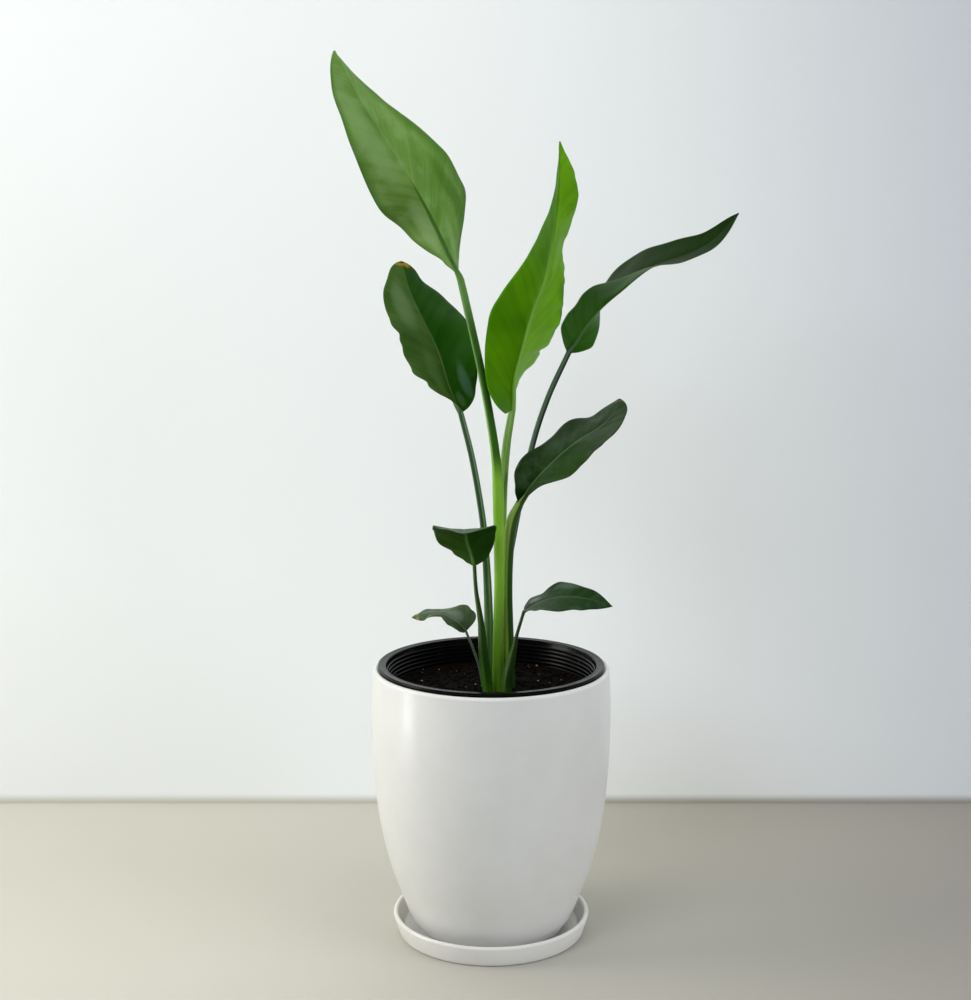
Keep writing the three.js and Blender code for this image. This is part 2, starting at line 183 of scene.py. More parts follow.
def round_corner(middle_radius, middle_height, size, start, end, steps):
    ring = []
    for i in range(steps + 1):
        angle = math.radians(start + (end - start) * i / steps)
        ring.append((middle_radius + size * math.cos(angle), middle_height + size * math.sin(angle)))
    return ring


def smooth_line(points, steps):
    """A smooth curve through points, with steps pieces between each two (Catmull-Rom)."""
    points = np.asarray(points, float)
    share = np.linspace(0, 1, steps * (len(points) - 1) + 1)
    return along_curve(points, share)


def along_curve(points, share):
    points = np.asarray(points, float)
    if points.ndim == 1:
        points = points[:, None]
    last = len(points) - 1
    share = np.atleast_1d(share)
    place = share * last
    i = np.clip(np.floor(place).astype(int), 0, last - 1)
    step = (place - i)[:, None]
    here, there = points[i], points[i + 1]
    first_step, last_step = 2 * points[0] - points[1], 2 * points[-1] - points[-2]
    before = np.where((i > 0)[:, None], points[np.maximum(i - 1, 0)], first_step)
    after = np.where((i + 2 <= last)[:, None], points[np.minimum(i + 2, last)], last_step)
    out = (there - before) / 2
    into = (after - here) / 2
    square = 3 * (there - here) - 2 * out - into
    cube = 2 * (here - there) + out + into
    return here + out * step + square * step ** 2 + cube * step ** 3


def white_glaze(name, warm):
    """Satin white glaze over a pale body: a little cloudiness, faint throwing lines, tiny pinholes."""
    glaze = Finish(name)
    cloud = glaze.noise(9.0, 4.0)
    fine = glaze.noise(60.0, 3.0)
    height = glaze.part(glaze.place(), 2)
    rings = (height * 1900.0 + cloud * 14.0).wave()
    speck = glaze.node(
        "ShaderNodeTexVoronoi", {"feature": "DISTANCE_TO_EDGE"},
        {"Vector": glaze.place(), "Scale": 420.0})
    pinhole = 1.0 - speck.step(0.0, 0.02)
    tone = (cloud * 0.75 + fine * 0.25).step(0.3, 0.7)
    colour = glaze.blend(tone, (0.715 + warm, 0.715, 0.69 - warm), (0.77 + warm, 0.77, 0.755 - warm))
    relief = cloud * 0.9 + rings * 0.012 + fine * 0.05 - pinhole * 0.01
    return glaze.coat({
        "Base Color": colour,
        "Roughness": 0.3 + tone * 0.08 + fine * 0.05,
        "Normal": glaze.bump(relief, 0.12, 0.002),
        "Coat Weight": 0.25,
        "Coat Roughness": 0.16,
        "IOR": 1.5,
    })


def dress(piece, *materials):
    piece.data.materials.clear()
    for material in materials:
        piece.data.materials.append(material)


saucer_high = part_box("saucer")[1]
saucer_rim = saucer_high[0]
saucer_top = saucer_high[2]
saucer_wall = 0.0044
saucer_foot = saucer_rim - 0.0043
saucer_floor = 0.005
lip = saucer_wall / 2
saucer_rings = [(0.06, 0.0)]
saucer_rings += round_corner(saucer_foot - 0.003, 0.003, 0.003, -90, -8, 6)
saucer_rings += round_corner(saucer_rim - lip, saucer_top - lip, lip, 0, 180, 12)
saucer_rings += round_corner(saucer_foot - saucer_wall - 0.003, saucer_floor + 0.003, 0.003, 0, -90, 6)
saucer_rings += [(0.04, saucer_floor)]
saucer = throw_ring_by_ring("glazed_saucer", saucer_rings, 192)
dress(saucer, white_glaze("saucer_glaze", 0.02))
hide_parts("saucer")
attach(saucer, "root")


# ---------------- cover pot
# The cover pot is round, thrown in white stoneware and glazed inside and out. It draws in to a narrow
# foot, swells at two thirds of its height and ends in a rounded lip that carries the nursery pot.

cover_low, cover_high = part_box("cover_pot")
cover_top = cover_high[2]
cover_base = cover_low[2]
cover_wall = 0.006
cover_rim = 0.1043
cover_foot = 0.062
cover_swell = [
    (-0.0382, 0.033), (-0.0307, 0.082), (-0.023, 0.165), (-0.0128, 0.288),
    (-0.0043, 0.453), (0.0004, 0.658), (0.0013, 0.844), (0.0, 0.975),
]
side_line = smooth_line([(cover_rim + more, share * cover_top) for more, share in cover_swell], 7)
lip = cover_wall / 2
cover_rings = [(0.03, cover_base), (cover_foot - 0.002, cover_base)]
cover_rings += round_corner(cover_foot - 0.001, cover_base + 0.0012, 0.0012, -70, -20, 2)
cover_rings += [(r, z) for r, z in side_line if z < cover_top - lip - 0.0015]
cover_rings += round_corner(cover_rim - lip, cover_top - lip, lip, 0, 180, 14)
inner_low, inner_high = cover_base + 0.02, cover_top - 0.006
cover_rings += [(r - cover_wall, z) for r, z in side_line[::-1] if inner_low < z < inner_high]
cover_rings += [(0.06, cover_base + 0.0095), (0.055, cover_base + 0.008), (0.03, cover_base + 0.008)]
cover = throw_ring_by_ring("glazed_cover_pot", cover_rings, 224)


def drill(piece, cutter):
    """Cut a cutter away from a piece."""
    deselect_all()
    cut = piece.modifiers.new("drain", "BOOLEAN")
    cut.object = cutter
    cut.solver = "EXACT"
    bpy.context.view_layer.objects.active = piece
    piece.select_set(True)
    bpy.ops.object.modifier_apply(modifier="drain")
    bpy.data.objects.remove(cutter)


deselect_all()
bpy.ops.mesh.primitive_cylinder_add(
    vertices=48, radius=0.009, depth=0.05, location=(0, 0, cover_base + 0.004))
drill(cover, bpy.context.object)
dress(cover, white_glaze("cover_pot_glaze", 0.004))
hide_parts("cover_pot")
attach(cover, "root")


# ---------------- nursery pot
# The nursery pot is moulded in thin black plastic, shiny inside and out. It hangs by its flange on the
# cover pot's lip, has ribs inside under the flange, and eight drain holes in its floor.

nursery_low, nursery_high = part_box("nursery_pot")
nursery_top = nursery_high[2]
nursery_bottom = nursery_low[2]
nursery_rim = nursery_high[0]
nursery_mouth = nursery_rim - 0.0075
nursery_floor = nursery_mouth - 0.0215
nursery_skin = 0.0014
flange = 0.0027


def nursery_inside(height):
    taper = nursery_mouth - nursery_floor
    return nursery_floor + taper * (height - nursery_bottom) / (nursery_top - nursery_bottom)


flange_under = nursery_top - flange
nursery_rings = [(0.035, nursery_bottom)]
foot_round = 0.003
nursery_rings += round_corner(
    nursery_floor + nursery_skin - foot_round, nursery_bottom + foot_round, foot_round, -90, -10, 5)
outer_levels = np.linspace(nursery_bottom + 0.01, flange_under - 0.0012, 12)
nursery_rings += [(nursery_inside(z) + nursery_skin, z) for z in outer_levels]
nursery_rings += [(nursery_mouth + nursery_skin + 0.001, flange_under)]
nursery_rings += round_corner(nursery_rim - flange / 2, nursery_top - flange / 2, flange / 2, -90, 90, 10)
nursery_rings += [
    (nursery_rim - 0.003, nursery_top - 0.0003), (nursery_rim - 0.0042, nursery_top - 0.0006),
]
nursery_rings += round_corner(nursery_mouth + 0.0013, nursery_top - 0.0016, 0.0013, 90, 180, 5)
for rib in range(6):
    crest = nursery_top - 0.0042 - 0.0036 * rib
    wall = nursery_inside(crest)
    nursery_rings += [
        (wall, crest), (wall - 0.0003, crest - 0.0008), (wall - 0.001, crest - 0.0012),
        (wall - 0.0011, crest - 0.0022), (wall - 0.0003, crest - 0.0027),
    ]
inner_levels = np.linspace(nursery_top - 0.03, nursery_bottom + 0.006, 8)
nursery_rings += [(nursery_inside(z), z) for z in inner_levels]
nursery_rings += [
    (nursery_floor - 0.001, nursery_bottom + 0.0022),
    (nursery_floor - 0.004, nursery_bottom + nursery_skin),
    (0.035, nursery_bottom + nursery_skin),
]
nursery = throw_ring_by_ring("black_nursery_pot", nursery_rings, 224)
deselect_all()
drains = []
for hole in range(8):
    angle = math.radians(45 * hole)
    bpy.ops.mesh.primitive_cylinder_add(
        vertices=32, radius=0.005, depth=0.02,
        location=(0.052 * math.cos(angle), 0.052 * math.sin(angle), nursery_bottom))
    drains.append(bpy.context.object)
deselect_all()
for drain in drains:
    drain.select_set(True)
bpy.context.view_layer.objects.active = drains[0]
bpy.ops.object.join()
drill(nursery, drains[0])

plastic = Finish("black_plastic_gloss")
sweep = plastic.node("ShaderNodeMapping", None, {"Vector": plastic.place(), "Scale": (1, 1, 9)})
streak = plastic.noise(26.0, 3.0, sweep)
scuff = plastic.noise(210.0, 4.0).step(0.45, 0.75)
dust = plastic.noise(34.0, 5.0).step(0.48, 0.72)
dress(nursery, plastic.coat({
    "Base Color": plastic.blend(dust * 0.6, (0.001, 0.0011, 0.0012), (0.0034, 0.0032, 0.003)),
    "Roughness": 0.17 + dust * 0.13 + scuff * 0.06,
    "Normal": plastic.bump(streak * 0.6 + scuff * 0.06, 0.1, 0.0015),
    "IOR": 1.46,
    "Specular IOR Level": 0.14,
}))
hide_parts("nursery_pot")
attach(nursery, "root")


# ---------------- potting mix
# The potting mix is damp dark peat with bark fines and white perlite, filled to 22 mm below the rim.
# It is loose: its surface is crumbs and grains, heaped a little round the stems.

mix_top = nursery_top - 0.022
mix_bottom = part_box("potting_mix")[0][2]
mix_edge = nursery_inside(mix_top) - 0.0017
mix_rings = [(0.03, mix_bottom), (nursery_inside(mix_bottom) - 0.0012, mix_bottom)]
side_levels = np.linspace(mix_bottom + 0.01, mix_top - 0.002, 10)
mix_rings += [(nursery_inside(z) - 0.0019, z) for z in side_levels]
mix_rings += [(r, mix_top) for r in np.linspace(mix_edge, 0.0012, 72)]
mix = throw_ring_by_ring("peat_mix", mix_rings, 176)


def mix_height(x, y):
    """How far the surface stands above its level: slow heaps, clods and crumbs."""
    slow = noise.noise(Vector((x * 28, y * 28, 3.1))) * 0.0016
    clods = noise.noise(Vector((x * 130, y * 130, 8.2))) * 0.0011
    crumbs = noise.noise(Vector((x * 420, y * 420, 1.7))) * 0.0007
    heap = 0.0016 * math.exp(-((x - 0.006) ** 2 + (y + 0.007) ** 2) / 0.0009)
    return slow + clods + crumbs + heap - 0.0012


for vertex in mix.data.vertices:
    if vertex.co.z > mix_top - 0.0005:
        reach = math.hypot(vertex.co.x, vertex.co.y)
        fade = min(1.0, max(0.0, (mix_edge - reach) / 0.006))
        vertex.co.z += mix_height(vertex.co.x, vertex.co.y) * fade
mix.data.update()

peat = Finish("damp_peat")
grit = peat.noise(340.0, 6.0, None, 0.7)
clod = peat.noise(75.0, 4.0)
fleck = peat.node(
    "ShaderNodeTexVoronoi", None, {"Vector": peat.place(), "Scale": 520.0, "Randomness": 1.0})
pale = 1.0 - fleck.step(0.05, 0.16)
soil_tone = peat.blend(grit.step(0.35, 0.7), (0.0022, 0.0018, 0.0015), (0.0095, 0.0068, 0.0048))
soil_tone = peat.blend(clod.step(0.4, 0.75) * 0.5, soil_tone, (0.006, 0.0038, 0.0025))
soil_tone = peat.blend(pale * grit.step(0.55, 0.8) * 0.6, soil_tone, (0.09, 0.055, 0.03))
peat_material = peat.coat({
    "Base Color": soil_tone,
    "Roughness": 0.78 + grit * 0.2,
    "Normal": peat.bump(grit + clod * 0.5, 0.8, 0.0016),
    "Specular IOR Level": 0.06,
})
dress(mix, peat_material)
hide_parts("potting_mix")
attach(mix, "root")

stem_feet = [
    (0.006, -0.01, 0.008), (-0.003, -0.003, 0.006), (0.007, 0.006, 0.007), (0.016, 0.011, 0.006),
    (0.016, -0.004, 0.007), (-0.003, -0.018, 0.007), (-0.007, 0.003, 0.004), (0.013, -0.019, 0.008),
]


def clear_of_stems(x, y, margin):
    return all(math.hypot(x - a, y - b) > size + margin for a, b, size in stem_feet)


def strew(name, count, small, large, squash, lift, material, body_seed):
    """Grains strewn on the mix, one mesh: each a lumpy pebble pressed partly into the surface."""
    deselect_all()
    bpy.ops.mesh.primitive_ico_sphere_add(subdivisions=1, radius=1)
    pebble = bpy.context.object
    corners = [vertex.co.copy() for vertex in pebble.data.vertices]
    faces = [tuple(polygon.vertices) for polygon in pebble.data.polygons]
    bpy.data.objects.remove(pebble)
    points, skins = [], []
    dice = random.Random(body_seed)
    made = 0
    while made < count:
        reach = mix_edge * math.sqrt(dice.random())
        turn = dice.random() * 2 * math.pi
        x, y = reach * math.cos(turn), reach * math.sin(turn)
        size = small + (large - small) * dice.random() ** 2.2
        if reach > mix_edge - size * 1.2 or not clear_of_stems(x, y, size):
            continue
        spin = dice.random() * 6.28
        tilt = (dice.random() - 0.5) * 0.9
        stretch = 0.75 + dice.random() * 0.6
        fade = min(1.0, max(0.0, (mix_edge - reach) / 0.006))
        base = mix_top + mix_height(x, y) * fade + size * lift
        start = len(points)
        for corner in corners:
            bump = 1 + 0.28 * noise.noise(corner * 1.7 + Vector((made * 3.1, 0, 0)))
            px, py, pz = corner.x * stretch * bump, corner.y / stretch * bump, corner.z * squash * bump
            qx = px * math.cos(spin) - py * math.sin(spin)
            qy = px * math.sin(spin) + py * math.cos(spin)
            points.append((x + qx * size, y + qy * size, base + (pz + qx * tilt * 0.3) * size))
        skins += [tuple(start + i for i in face) for face in faces]
        made += 1
    mesh = bpy.data.meshes.new(name)
    mesh.from_pydata(points, [], skins)
    mesh.update()
    piece = bpy.data.objects.new(name, mesh)
    bpy.context.collection.objects.link(piece)
    dress(piece, material)
    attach(piece, "root")


strew("peat_crumbs", 1500, 0.0006, 0.0026, 0.7, 0.15, peat_material, 5)

perlite = Finish("white_perlite")
pores = perlite.noise(1300.0, 3.0)
stain = perlite.noise(240.0, 2.0).step(0.45, 0.7)
grain_material = perlite.coat({
    "Base Color": perlite.blend(stain * 0.7, (0.42, 0.4, 0.36), (0.1, 0.075, 0.05)),
    "Roughness": 0.75 + pores * 0.2,
    "Normal": perlite.bump(pores, 0.6, 0.0004),
})
strew("perlite_grains", 60, 0.0004, 0.0012, 0.8, 0.25, grain_material, 23)


# ---------------- crown
# The crown is the plant's squat rhizome, buried in the mix; the petioles stand on it.
# It is brown and fibrous, with rings where old leaves have dropped.

fibre = Finish("crown_fibre")
ringed = fibre.node("ShaderNodeMapping", None, {"Vector": fibre.place(), "Scale": (1, 1, 6)})
strand = fibre.noise(140.0, 5.0, ringed, 0.65)
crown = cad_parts["crown"]
dress(crown, fibre.coat({
    "Base Color": fibre.blend(strand.step(0.3, 0.7), (0.1, 0.055, 0.025), (0.3, 0.2, 0.1)),
    "Roughness": 0.7 + strand * 0.25,
    "Normal": fibre.bump(strand, 0.7, 0.001),
}))


# ---------------- leaves: how a stalk and a blade are made
# Each leaf is a fleshy petiole that clasps its neighbours at the foot, and a leathery blade on a stout
# midrib. The blade is a flat grid laid along the midrib's line, folded, rippled and given its thickness.

mm = 0.001


def turned_about(vectors, axes, angles):
    """Vectors turned about unit axes by angles in radians, when each is square to its axis."""
    cos, sin = np.cos(angles)[:, None], np.sin(angles)[:, None]
    return vectors * cos + np.cross(axes, vectors) * sin


def unit(vectors):
    return vectors / np.linalg.norm(vectors, axis=-1, keepdims=True)


def blade_frame(leaf, share):
    spine = np.array(leaf["spine"], float)
    small = 1e-3
    centre = along_curve(spine, share)
    ahead = along_curve(spine, np.minimum(share + small, 1))
    behind = along_curve(spine, np.maximum(share - small, 0))
    forward = unit(ahead - behind)
    upward = np.array(leaf["upward"], float)
    up = unit(upward - (forward @ upward)[:, None] * forward)
    up = turned_about(up, forward, np.radians(along_curve(leaf["twist"], share)[:, 0]))
    return centre, forward, up, np.cross(forward, up)


def blade_shape(leaf, share):
    left = np.clip(share / leaf["widest"], 0, 1)
    past = np.clip((share - leaf["widest"]) / (1 - leaf["widest"]), 0, 1)
    base = (1 - (1 - left) ** leaf["heel"]) ** (1 / leaf["heel"])
    tip = np.maximum(np.cos(np.pi / 2 * past ** leaf["point"]), 0) ** leaf["blunt"]
    return np.where(share < leaf["widest"], base, tip)


def blade_surface(leaf, side, share):
    """Points of a blade in mm above the mix, from side (-1 to 1) and share of the length (0 to 1)."""
    centre, forward, up, across = blade_frame(leaf, share)
    right = side > 0
    reach = np.abs(side)
    half = np.where(right, leaf["half"][1], leaf["half"][0]) * blade_shape(leaf, share)
    for which, place, more, spread in leaf["margin"]:
        half = half + (side * which > 0) * more * np.exp(-((share - place) / spread) ** 2)
    half = np.maximum(half, leaf["neck"] + (0.5 - leaf["neck"]) * share)
    fold_right = along_curve(leaf["fold_right"], share)[:, 0]
    fold = np.where(right, fold_right, along_curve(leaf["fold_left"], share)[:, 0])
    lean = np.radians(fold + leaf.get("curl", 0) * reach * 0.5)
    out = np.sign(side) * half * reach * np.cos(lean)
    rise = half * reach * np.sin(lean)
    for which, count, size, start in leaf["ripple"]:
        edge = (side * which > 0) * reach ** 2
        fade = np.sin(np.pi * np.clip(share, 0, 1)) ** 0.6
        rise = rise + edge * fade * size * np.sin(2 * np.pi * (count * share + start))
    return centre + across * out[:, None] + up * rise[:, None]


def add_grid(name, columns, rows):
    """A flat grid to be shaped, and its corners, which run from -1 to 1 both ways."""
    deselect_all()
    bpy.ops.mesh.primitive_grid_add(x_subdivisions=columns, y_subdivisions=rows, size=2)
    piece = bpy.context.object
    piece.name = name
    return piece, np.array([tuple(vertex.co) for vertex in piece.data.vertices])


def shape_grid(mesh, points, name, numbers):
    """Move a grid's corners to points in mm above the mix; three numbers stay with each corner."""
    points = points * mm
    points[:, 2] += mix_top
    mesh.vertices.foreach_set("co", points.ravel())
    kept = mesh.attributes.new(name, "FLOAT_VECTOR", "POINT")
    kept.data.foreach_set("vector", np.stack(numbers, 1).ravel().astype(np.float32))


def add_blade(name, node, leaf, upper, under):
    length = np.linalg.norm(np.diff(smooth_line(leaf["spine"], 12), axis=0), axis=1).sum()
    piece, flat = add_grid(name, 44, 110)
    mesh = piece.data
    side = np.sign(flat[:, 0]) * np.abs(flat[:, 0]) ** 1.45
    share = (flat[:, 1] + 1) / 2
    here = blade_surface(leaf, side, share)
    small = 0.004
    ahead = blade_surface(leaf, side, np.minimum(share + small, 1))
    behind = blade_surface(leaf, side, np.maximum(share - small, 0))
    to_right = blade_surface(leaf, np.minimum(side + small, 1), share)
    to_left = blade_surface(leaf, np.maximum(side - small, -1), share)
    normal = unit(np.cross(to_right - to_left, ahead - behind))
    wide = np.where(side > 0, leaf["half"][1], leaf["half"][0]) * blade_shape(leaf, share)
    across = side * wide
    along = share * length
    # pleats between the side veins, and the trough of the midrib
    vein = along - np.abs(across) * leaf["slant"] + across ** 2 * 0.006
    pleat = np.sin(2 * np.pi * vein / leaf["pleat"] + 1.6 * np.sin(along / 23.0 + leaf["seed"]))
    pleat = pleat * np.clip(np.abs(across) / 6, 0, 1) * (1 - np.abs(side) ** 4)
    trough = np.exp(-(across / 1.6) ** 2) * (1 - share * 0.8)
    depth = leaf["seed"] * 7.7
    wander = np.array([noise.noise(Vector((a / 19, b / 19, depth))) for a, b in zip(across, along)])
    wander = wander * 0.9 * np.clip(np.abs(across) / 8, 0, 1)
    here = here + normal * (leaf["relief"] * pleat + wander - 0.55 * trough)[:, None]
    shape_grid(mesh, here, "blade", [across, along, side])
    thick = piece.vertex_groups.new(name="thick")
    rib = 0.34 + 0.5 * np.exp(-(across / 1.5) ** 2) * (1 - share) - 0.18 * np.abs(side) ** 3
    steps = np.round(np.clip(rib, 0, 1) * 60).astype(int)
    for step in np.unique(steps):
        thick.add(np.nonzero(steps == step)[0].tolist(), float(step) / 60, "REPLACE")
    mesh.update()
    dress(piece, upper, under)
    shell = piece.modifiers.new("thickness", "SOLIDIFY")
    shell.thickness = 2.0 * mm
    shell.offset = -1
    shell.vertex_group = "thick"
    shell.material_offset = 1
    shell.material_offset_rim = 0
    bpy.context.view_layer.objects.active = piece
    bpy.ops.object.modifier_apply(modifier="thickness")
    piece.vertex_groups.clear()
    bpy.ops.object.shade_smooth()
    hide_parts(node)
    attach(piece, "root")


def add_stalk(name, node, leaf, material):
    """The petiole, which runs on under the blade as its raised midrib."""
    run = 0.55
    share = np.linspace(0, run, 26)[1:]
    centre, forward, up, across = blade_frame(leaf, share)
    fade = 0.6 * np.exp(-share / 0.09) + 0.4 * (1 - share / run)
    radius = 0.3 + (leaf["neck"] - 0.3) * fade
    sink = np.clip(share / 0.08, 0, 1)
    keel = centre - up * (radius * (0.3 + 0.7 * sink) + leaf["sink"] * sink)[:, None]
    points = [list(point) for point in leaf["stem"]]
    start, _, up0, _ = blade_frame(leaf, np.array([0.0]))
    points.append([*(start[0] - up0[0] * leaf["neck"] * 0.3), leaf["neck"]])
    stem = along_curve(points, np.linspace(0, 1, 76))
    rib = np.c_[keel, radius]
    line = np.r_[stem, rib]
    # even steps along the whole line
    gap = np.r_[0, np.cumsum(np.linalg.norm(np.diff(line[:, :3], axis=0), axis=1))]
    total = gap[-1]
    rows = 110
    even = np.linspace(0, total, rows + 1)
    line = np.stack([np.interp(even, gap, line[:, k]) for k in range(4)], 1)
    stem_length = gap[75]
    piece, flat = add_grid(name, 28, rows)
    mesh = piece.data
    i = np.clip(np.round((flat[:, 1] + 1) / 2 * rows).astype(int), 0, rows)
    angle = flat[:, 0] * math.pi
    ahead = line[np.minimum(i + 1, rows), :3] - line[np.maximum(i - 1, 0), :3]
    forward = unit(ahead)
    face = np.array(leaf["channel"], float)
    up = unit(face - (forward @ face)[:, None] * forward)
    across = np.cross(forward, up)
    drawn = even[i]
    # a shallow channel on the upper side, deeper where the foot clasps
    clasp = np.clip(1 - drawn / leaf["clasp"], 0, 1)
    channel = (0.1 + 0.1 * clasp) * np.exp(-(angle / 0.55) ** 2)
    ridge = 0.035 * np.exp(-((np.abs(angle) - 0.8) / 0.2) ** 2)
    radius = line[i, 3] * (1 - channel + ridge)
    wide = 1 + 0.1 * clasp
    here = line[i, :3] + across * (radius * np.sin(angle) * wide)[:, None]
    here = here + up * (radius * np.cos(angle) / wide)[:, None]
    here[i == 0, 2] = leaf["stem"][0][2]
    shape_grid(mesh, here, "stalk", [np.sin(angle), np.cos(angle), drawn / stem_length])
    mesh.update()
    dress(piece, material)
    bpy.context.view_layer.objects.active = piece
    bpy.ops.object.mode_set(mode="EDIT")
    bpy.ops.mesh.select_all(action="SELECT")
    bpy.ops.mesh.remove_doubles(threshold=0.000001)
    bpy.ops.mesh.fill_holes(sides=0)
    bpy.ops.mesh.select_all(action="SELECT")
    bpy.ops.mesh.normals_make_consistent(inside=False)
    bpy.ops.object.mode_set(mode="OBJECT")
    bpy.ops.object.shade_smooth_by_angle(angle=math.radians(60))
    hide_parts(node)
    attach(piece, "root")


def leaf_skin(name, left, right, vein, rib, length, gloss=0.34, shine=0.3, slant=0.9,
              rib_width=1.0, rib_end=0.95, rib_strength=0.8, streaks=0.5, edge=None, cloud=None,
              scorch=None, sheen_and_shade_patches=(), glow=0.1):
    """Living leaf. left and right are the dark and light tones of the halves beside the midrib,
    right None where they are alike; where they differ, one half is painted lighter as sheen and the other
    darker as shade.
    cloud sets painted sheen in blotches. sheen_and_shade_patches are soft patches of painted sheen and
    painted shade:
    colour, amount, place and half size across and along the blade in mm."""
    right = right or left
    skin = Finish(name)
    where = skin.node("ShaderNodeAttribute", {"attribute_name": "blade"}, None, "Vector")
    across = skin.part(where, 0)
    along = skin.part(where, 1)
    side = skin.part(where, 2)
    out = abs(across)
    line = along - out * slant + across * across * 0.006
    vein_place = skin.node(
        "ShaderNodeCombineXYZ", None, {0: line, 1: out * 0.04, 2: across.step(-1.0, 1.0) * 7.0})
    broad = skin.noise(0.11, 3.0, vein_place, 0.6)
    fine = skin.noise(0.9, 3.0, vein_place, 0.65)
    soft = skin.noise(24.0, 3.0, skin.place(), 0.5)
    cells = skin.noise(800.0, 2.0)
    wander = skin.noise(110.0, 3.0)
    veins = (line * 2.6 + broad * 6.0).wave() * 0.5 + 0.5
    right_half = across.step(-0.6, 0.6)
    tone = broad.step(0.3, 0.7) * streaks + fine.step(0.3, 0.7) * 0.22
    tone = tone + soft.step(0.35, 0.65) * (0.8 - streaks)
    # the two halves can differ: one half painted lighter as sheen, the other painted darker as shade
    dark = skin.blend(right_half, left[0], right[0])
    light = skin.blend(right_half, left[1], right[1])
    colour = skin.blend(tone, dark, light)
    colour = skin.blend(veins ** 5.0 * 0.07, colour, vein)
    # painted sheen in soft blotches
    if cloud:
        sheen_colour, amount = cloud
        painted_light_patch = (skin.noise(58.0, 4.0, None, 0.55) + fine * 0.15).step(0.53, 0.76)
        colour = skin.blend(painted_light_patch * amount, colour, sheen_colour)
    # painted sheen and painted shade in soft patches
    for painted_light_colour, amount, across_place, along_place, wide, long in sheen_and_shade_patches:
        gone = ((across - across_place) * (1.0 / wide)) ** 2.0
        gone = gone + ((along - along_place) * (1.0 / long)) ** 2.0
        painted_light_patch = (1.0 - (gone + fine * 0.9 - 0.45).step(0.0, 1.0)) * amount
        colour = skin.blend(painted_light_patch, colour, painted_light_colour)
    if edge:
        edge_colour, amount, start = edge
        colour = skin.blend(abs(side).step(start, 1.0) * amount, colour, edge_colour)
    near = along.step(length * rib_end * 0.55, length * rib_end)
    midrib = (1.0 - (out + near * 1.2).step(0.25 * rib_width, 1.25 * rib_width)) * (1.0 - near)
    colour = skin.blend(midrib * rib_strength, colour, rib)
    if scorch:
        reach, halo_colour, burnt_colour = scorch
        to_tip = length - along + wander * 9.0 - 4.5
        colour = skin.blend((1.0 - to_tip.step(reach * 0.75, reach * 1.1)) * 0.85, colour, halo_colour)
        colour = skin.blend((1.0 - to_tip.step(reach * 0.25, reach * 0.55)) * 0.9, colour, burnt_colour)
    relief = broad * 0.4 + fine * 0.18 + veins * 0.06 + cells * 0.05 + soft * 0.5
    return skin.coat({
        "Base Color": colour,
        "Roughness": gloss + soft * 0.12 + cells * 0.05,
        "Normal": skin.bump(relief, 0.25, 0.001),
        "Specular IOR Level": shine * 0.3,
        "Subsurface Weight": glow,
        "Subsurface Radius": (0.6, 1.0, 0.25),
        "Subsurface Scale": 0.0012,
    })


def stalk_skin(name, foot, middle, top, pale, shade, shade_side=1.0,
               shade_share=(0.0, 0.0, 0.0, 0.0), shade_edge=0.0, lit=0.0, lit_at=-0.5,
               glow=0.1, keel=None):
    """Living petiole. foot, middle and top are its colours from the crown up, shade the painted shade on
    its dark flank.
    lit and lit_at set a painted highlight stripe in the pale colour along the stalk.
    """
    skin = Finish(name)
    where = skin.node("ShaderNodeAttribute", {"attribute_name": "stalk"}, None, "Vector")
    sideways = skin.part(where, 0)
    facing = skin.part(where, 1)
    share = skin.part(where, 2)
    around = skin.node("ShaderNodeCombineXYZ", None, {0: sideways * 3.0, 1: facing * 3.0, 2: share * 0.7})
    lines = skin.noise(5.0, 3.0, around, 0.6)
    bands = skin.noise(1.6, 2.0, around, 0.5)
    blotch = skin.noise(45.0, 4.0)
    colour = skin.blend(share.step(0.08, 0.42), foot, middle)
    colour = skin.blend(share.step(0.48, 0.92), colour, top)
    colour = skin.blend(bands.step(0.48, 0.72) * 0.3, colour, pale)
    colour = skin.blend(lines.step(0.42, 0.72) * 0.2, colour, shade)
    colour = skin.blend(blotch.step(0.5, 0.8) * 0.15, colour, shade)
    # painted shade down one flank of the stalk, over a span of its length
    begin, grown, fading, gone = shade_share
    if gone > begin:
        span = share.step(begin, grown) * (1.0 - share.step(fading, gone))
        painted_shade_flank = (sideways * shade_side + bands * 0.3 - 0.15).step(shade_edge - 0.12, shade_edge + 0.16)
        colour = skin.blend(painted_shade_flank * span * 0.95, colour, shade)
    # a painted highlight stripe along the stalk
    if lit > 0:
        painted_highlight_stripe = 1.0 - abs(sideways - lit_at + bands * 0.1 - 0.05).step(0.05, 0.26)
        colour = skin.blend(painted_highlight_stripe * lit, colour, pale)
    if keel:
        colour = skin.blend(share.step(0.99, 1.05), colour, keel)
    return skin.coat({
        "Base Color": colour,
        "Roughness": 0.32 + lines * 0.08 + blotch * 0.05,
        "Normal": skin.bump(lines * 0.5 + bands * 0.8, 0.22, 0.0007),
        "Subsurface Weight": glow,
        "Subsurface Radius": (0.6, 1.0, 0.25),
        "Subsurface Scale": 0.0015,
        "Specular IOR Level": 0.32,
    })
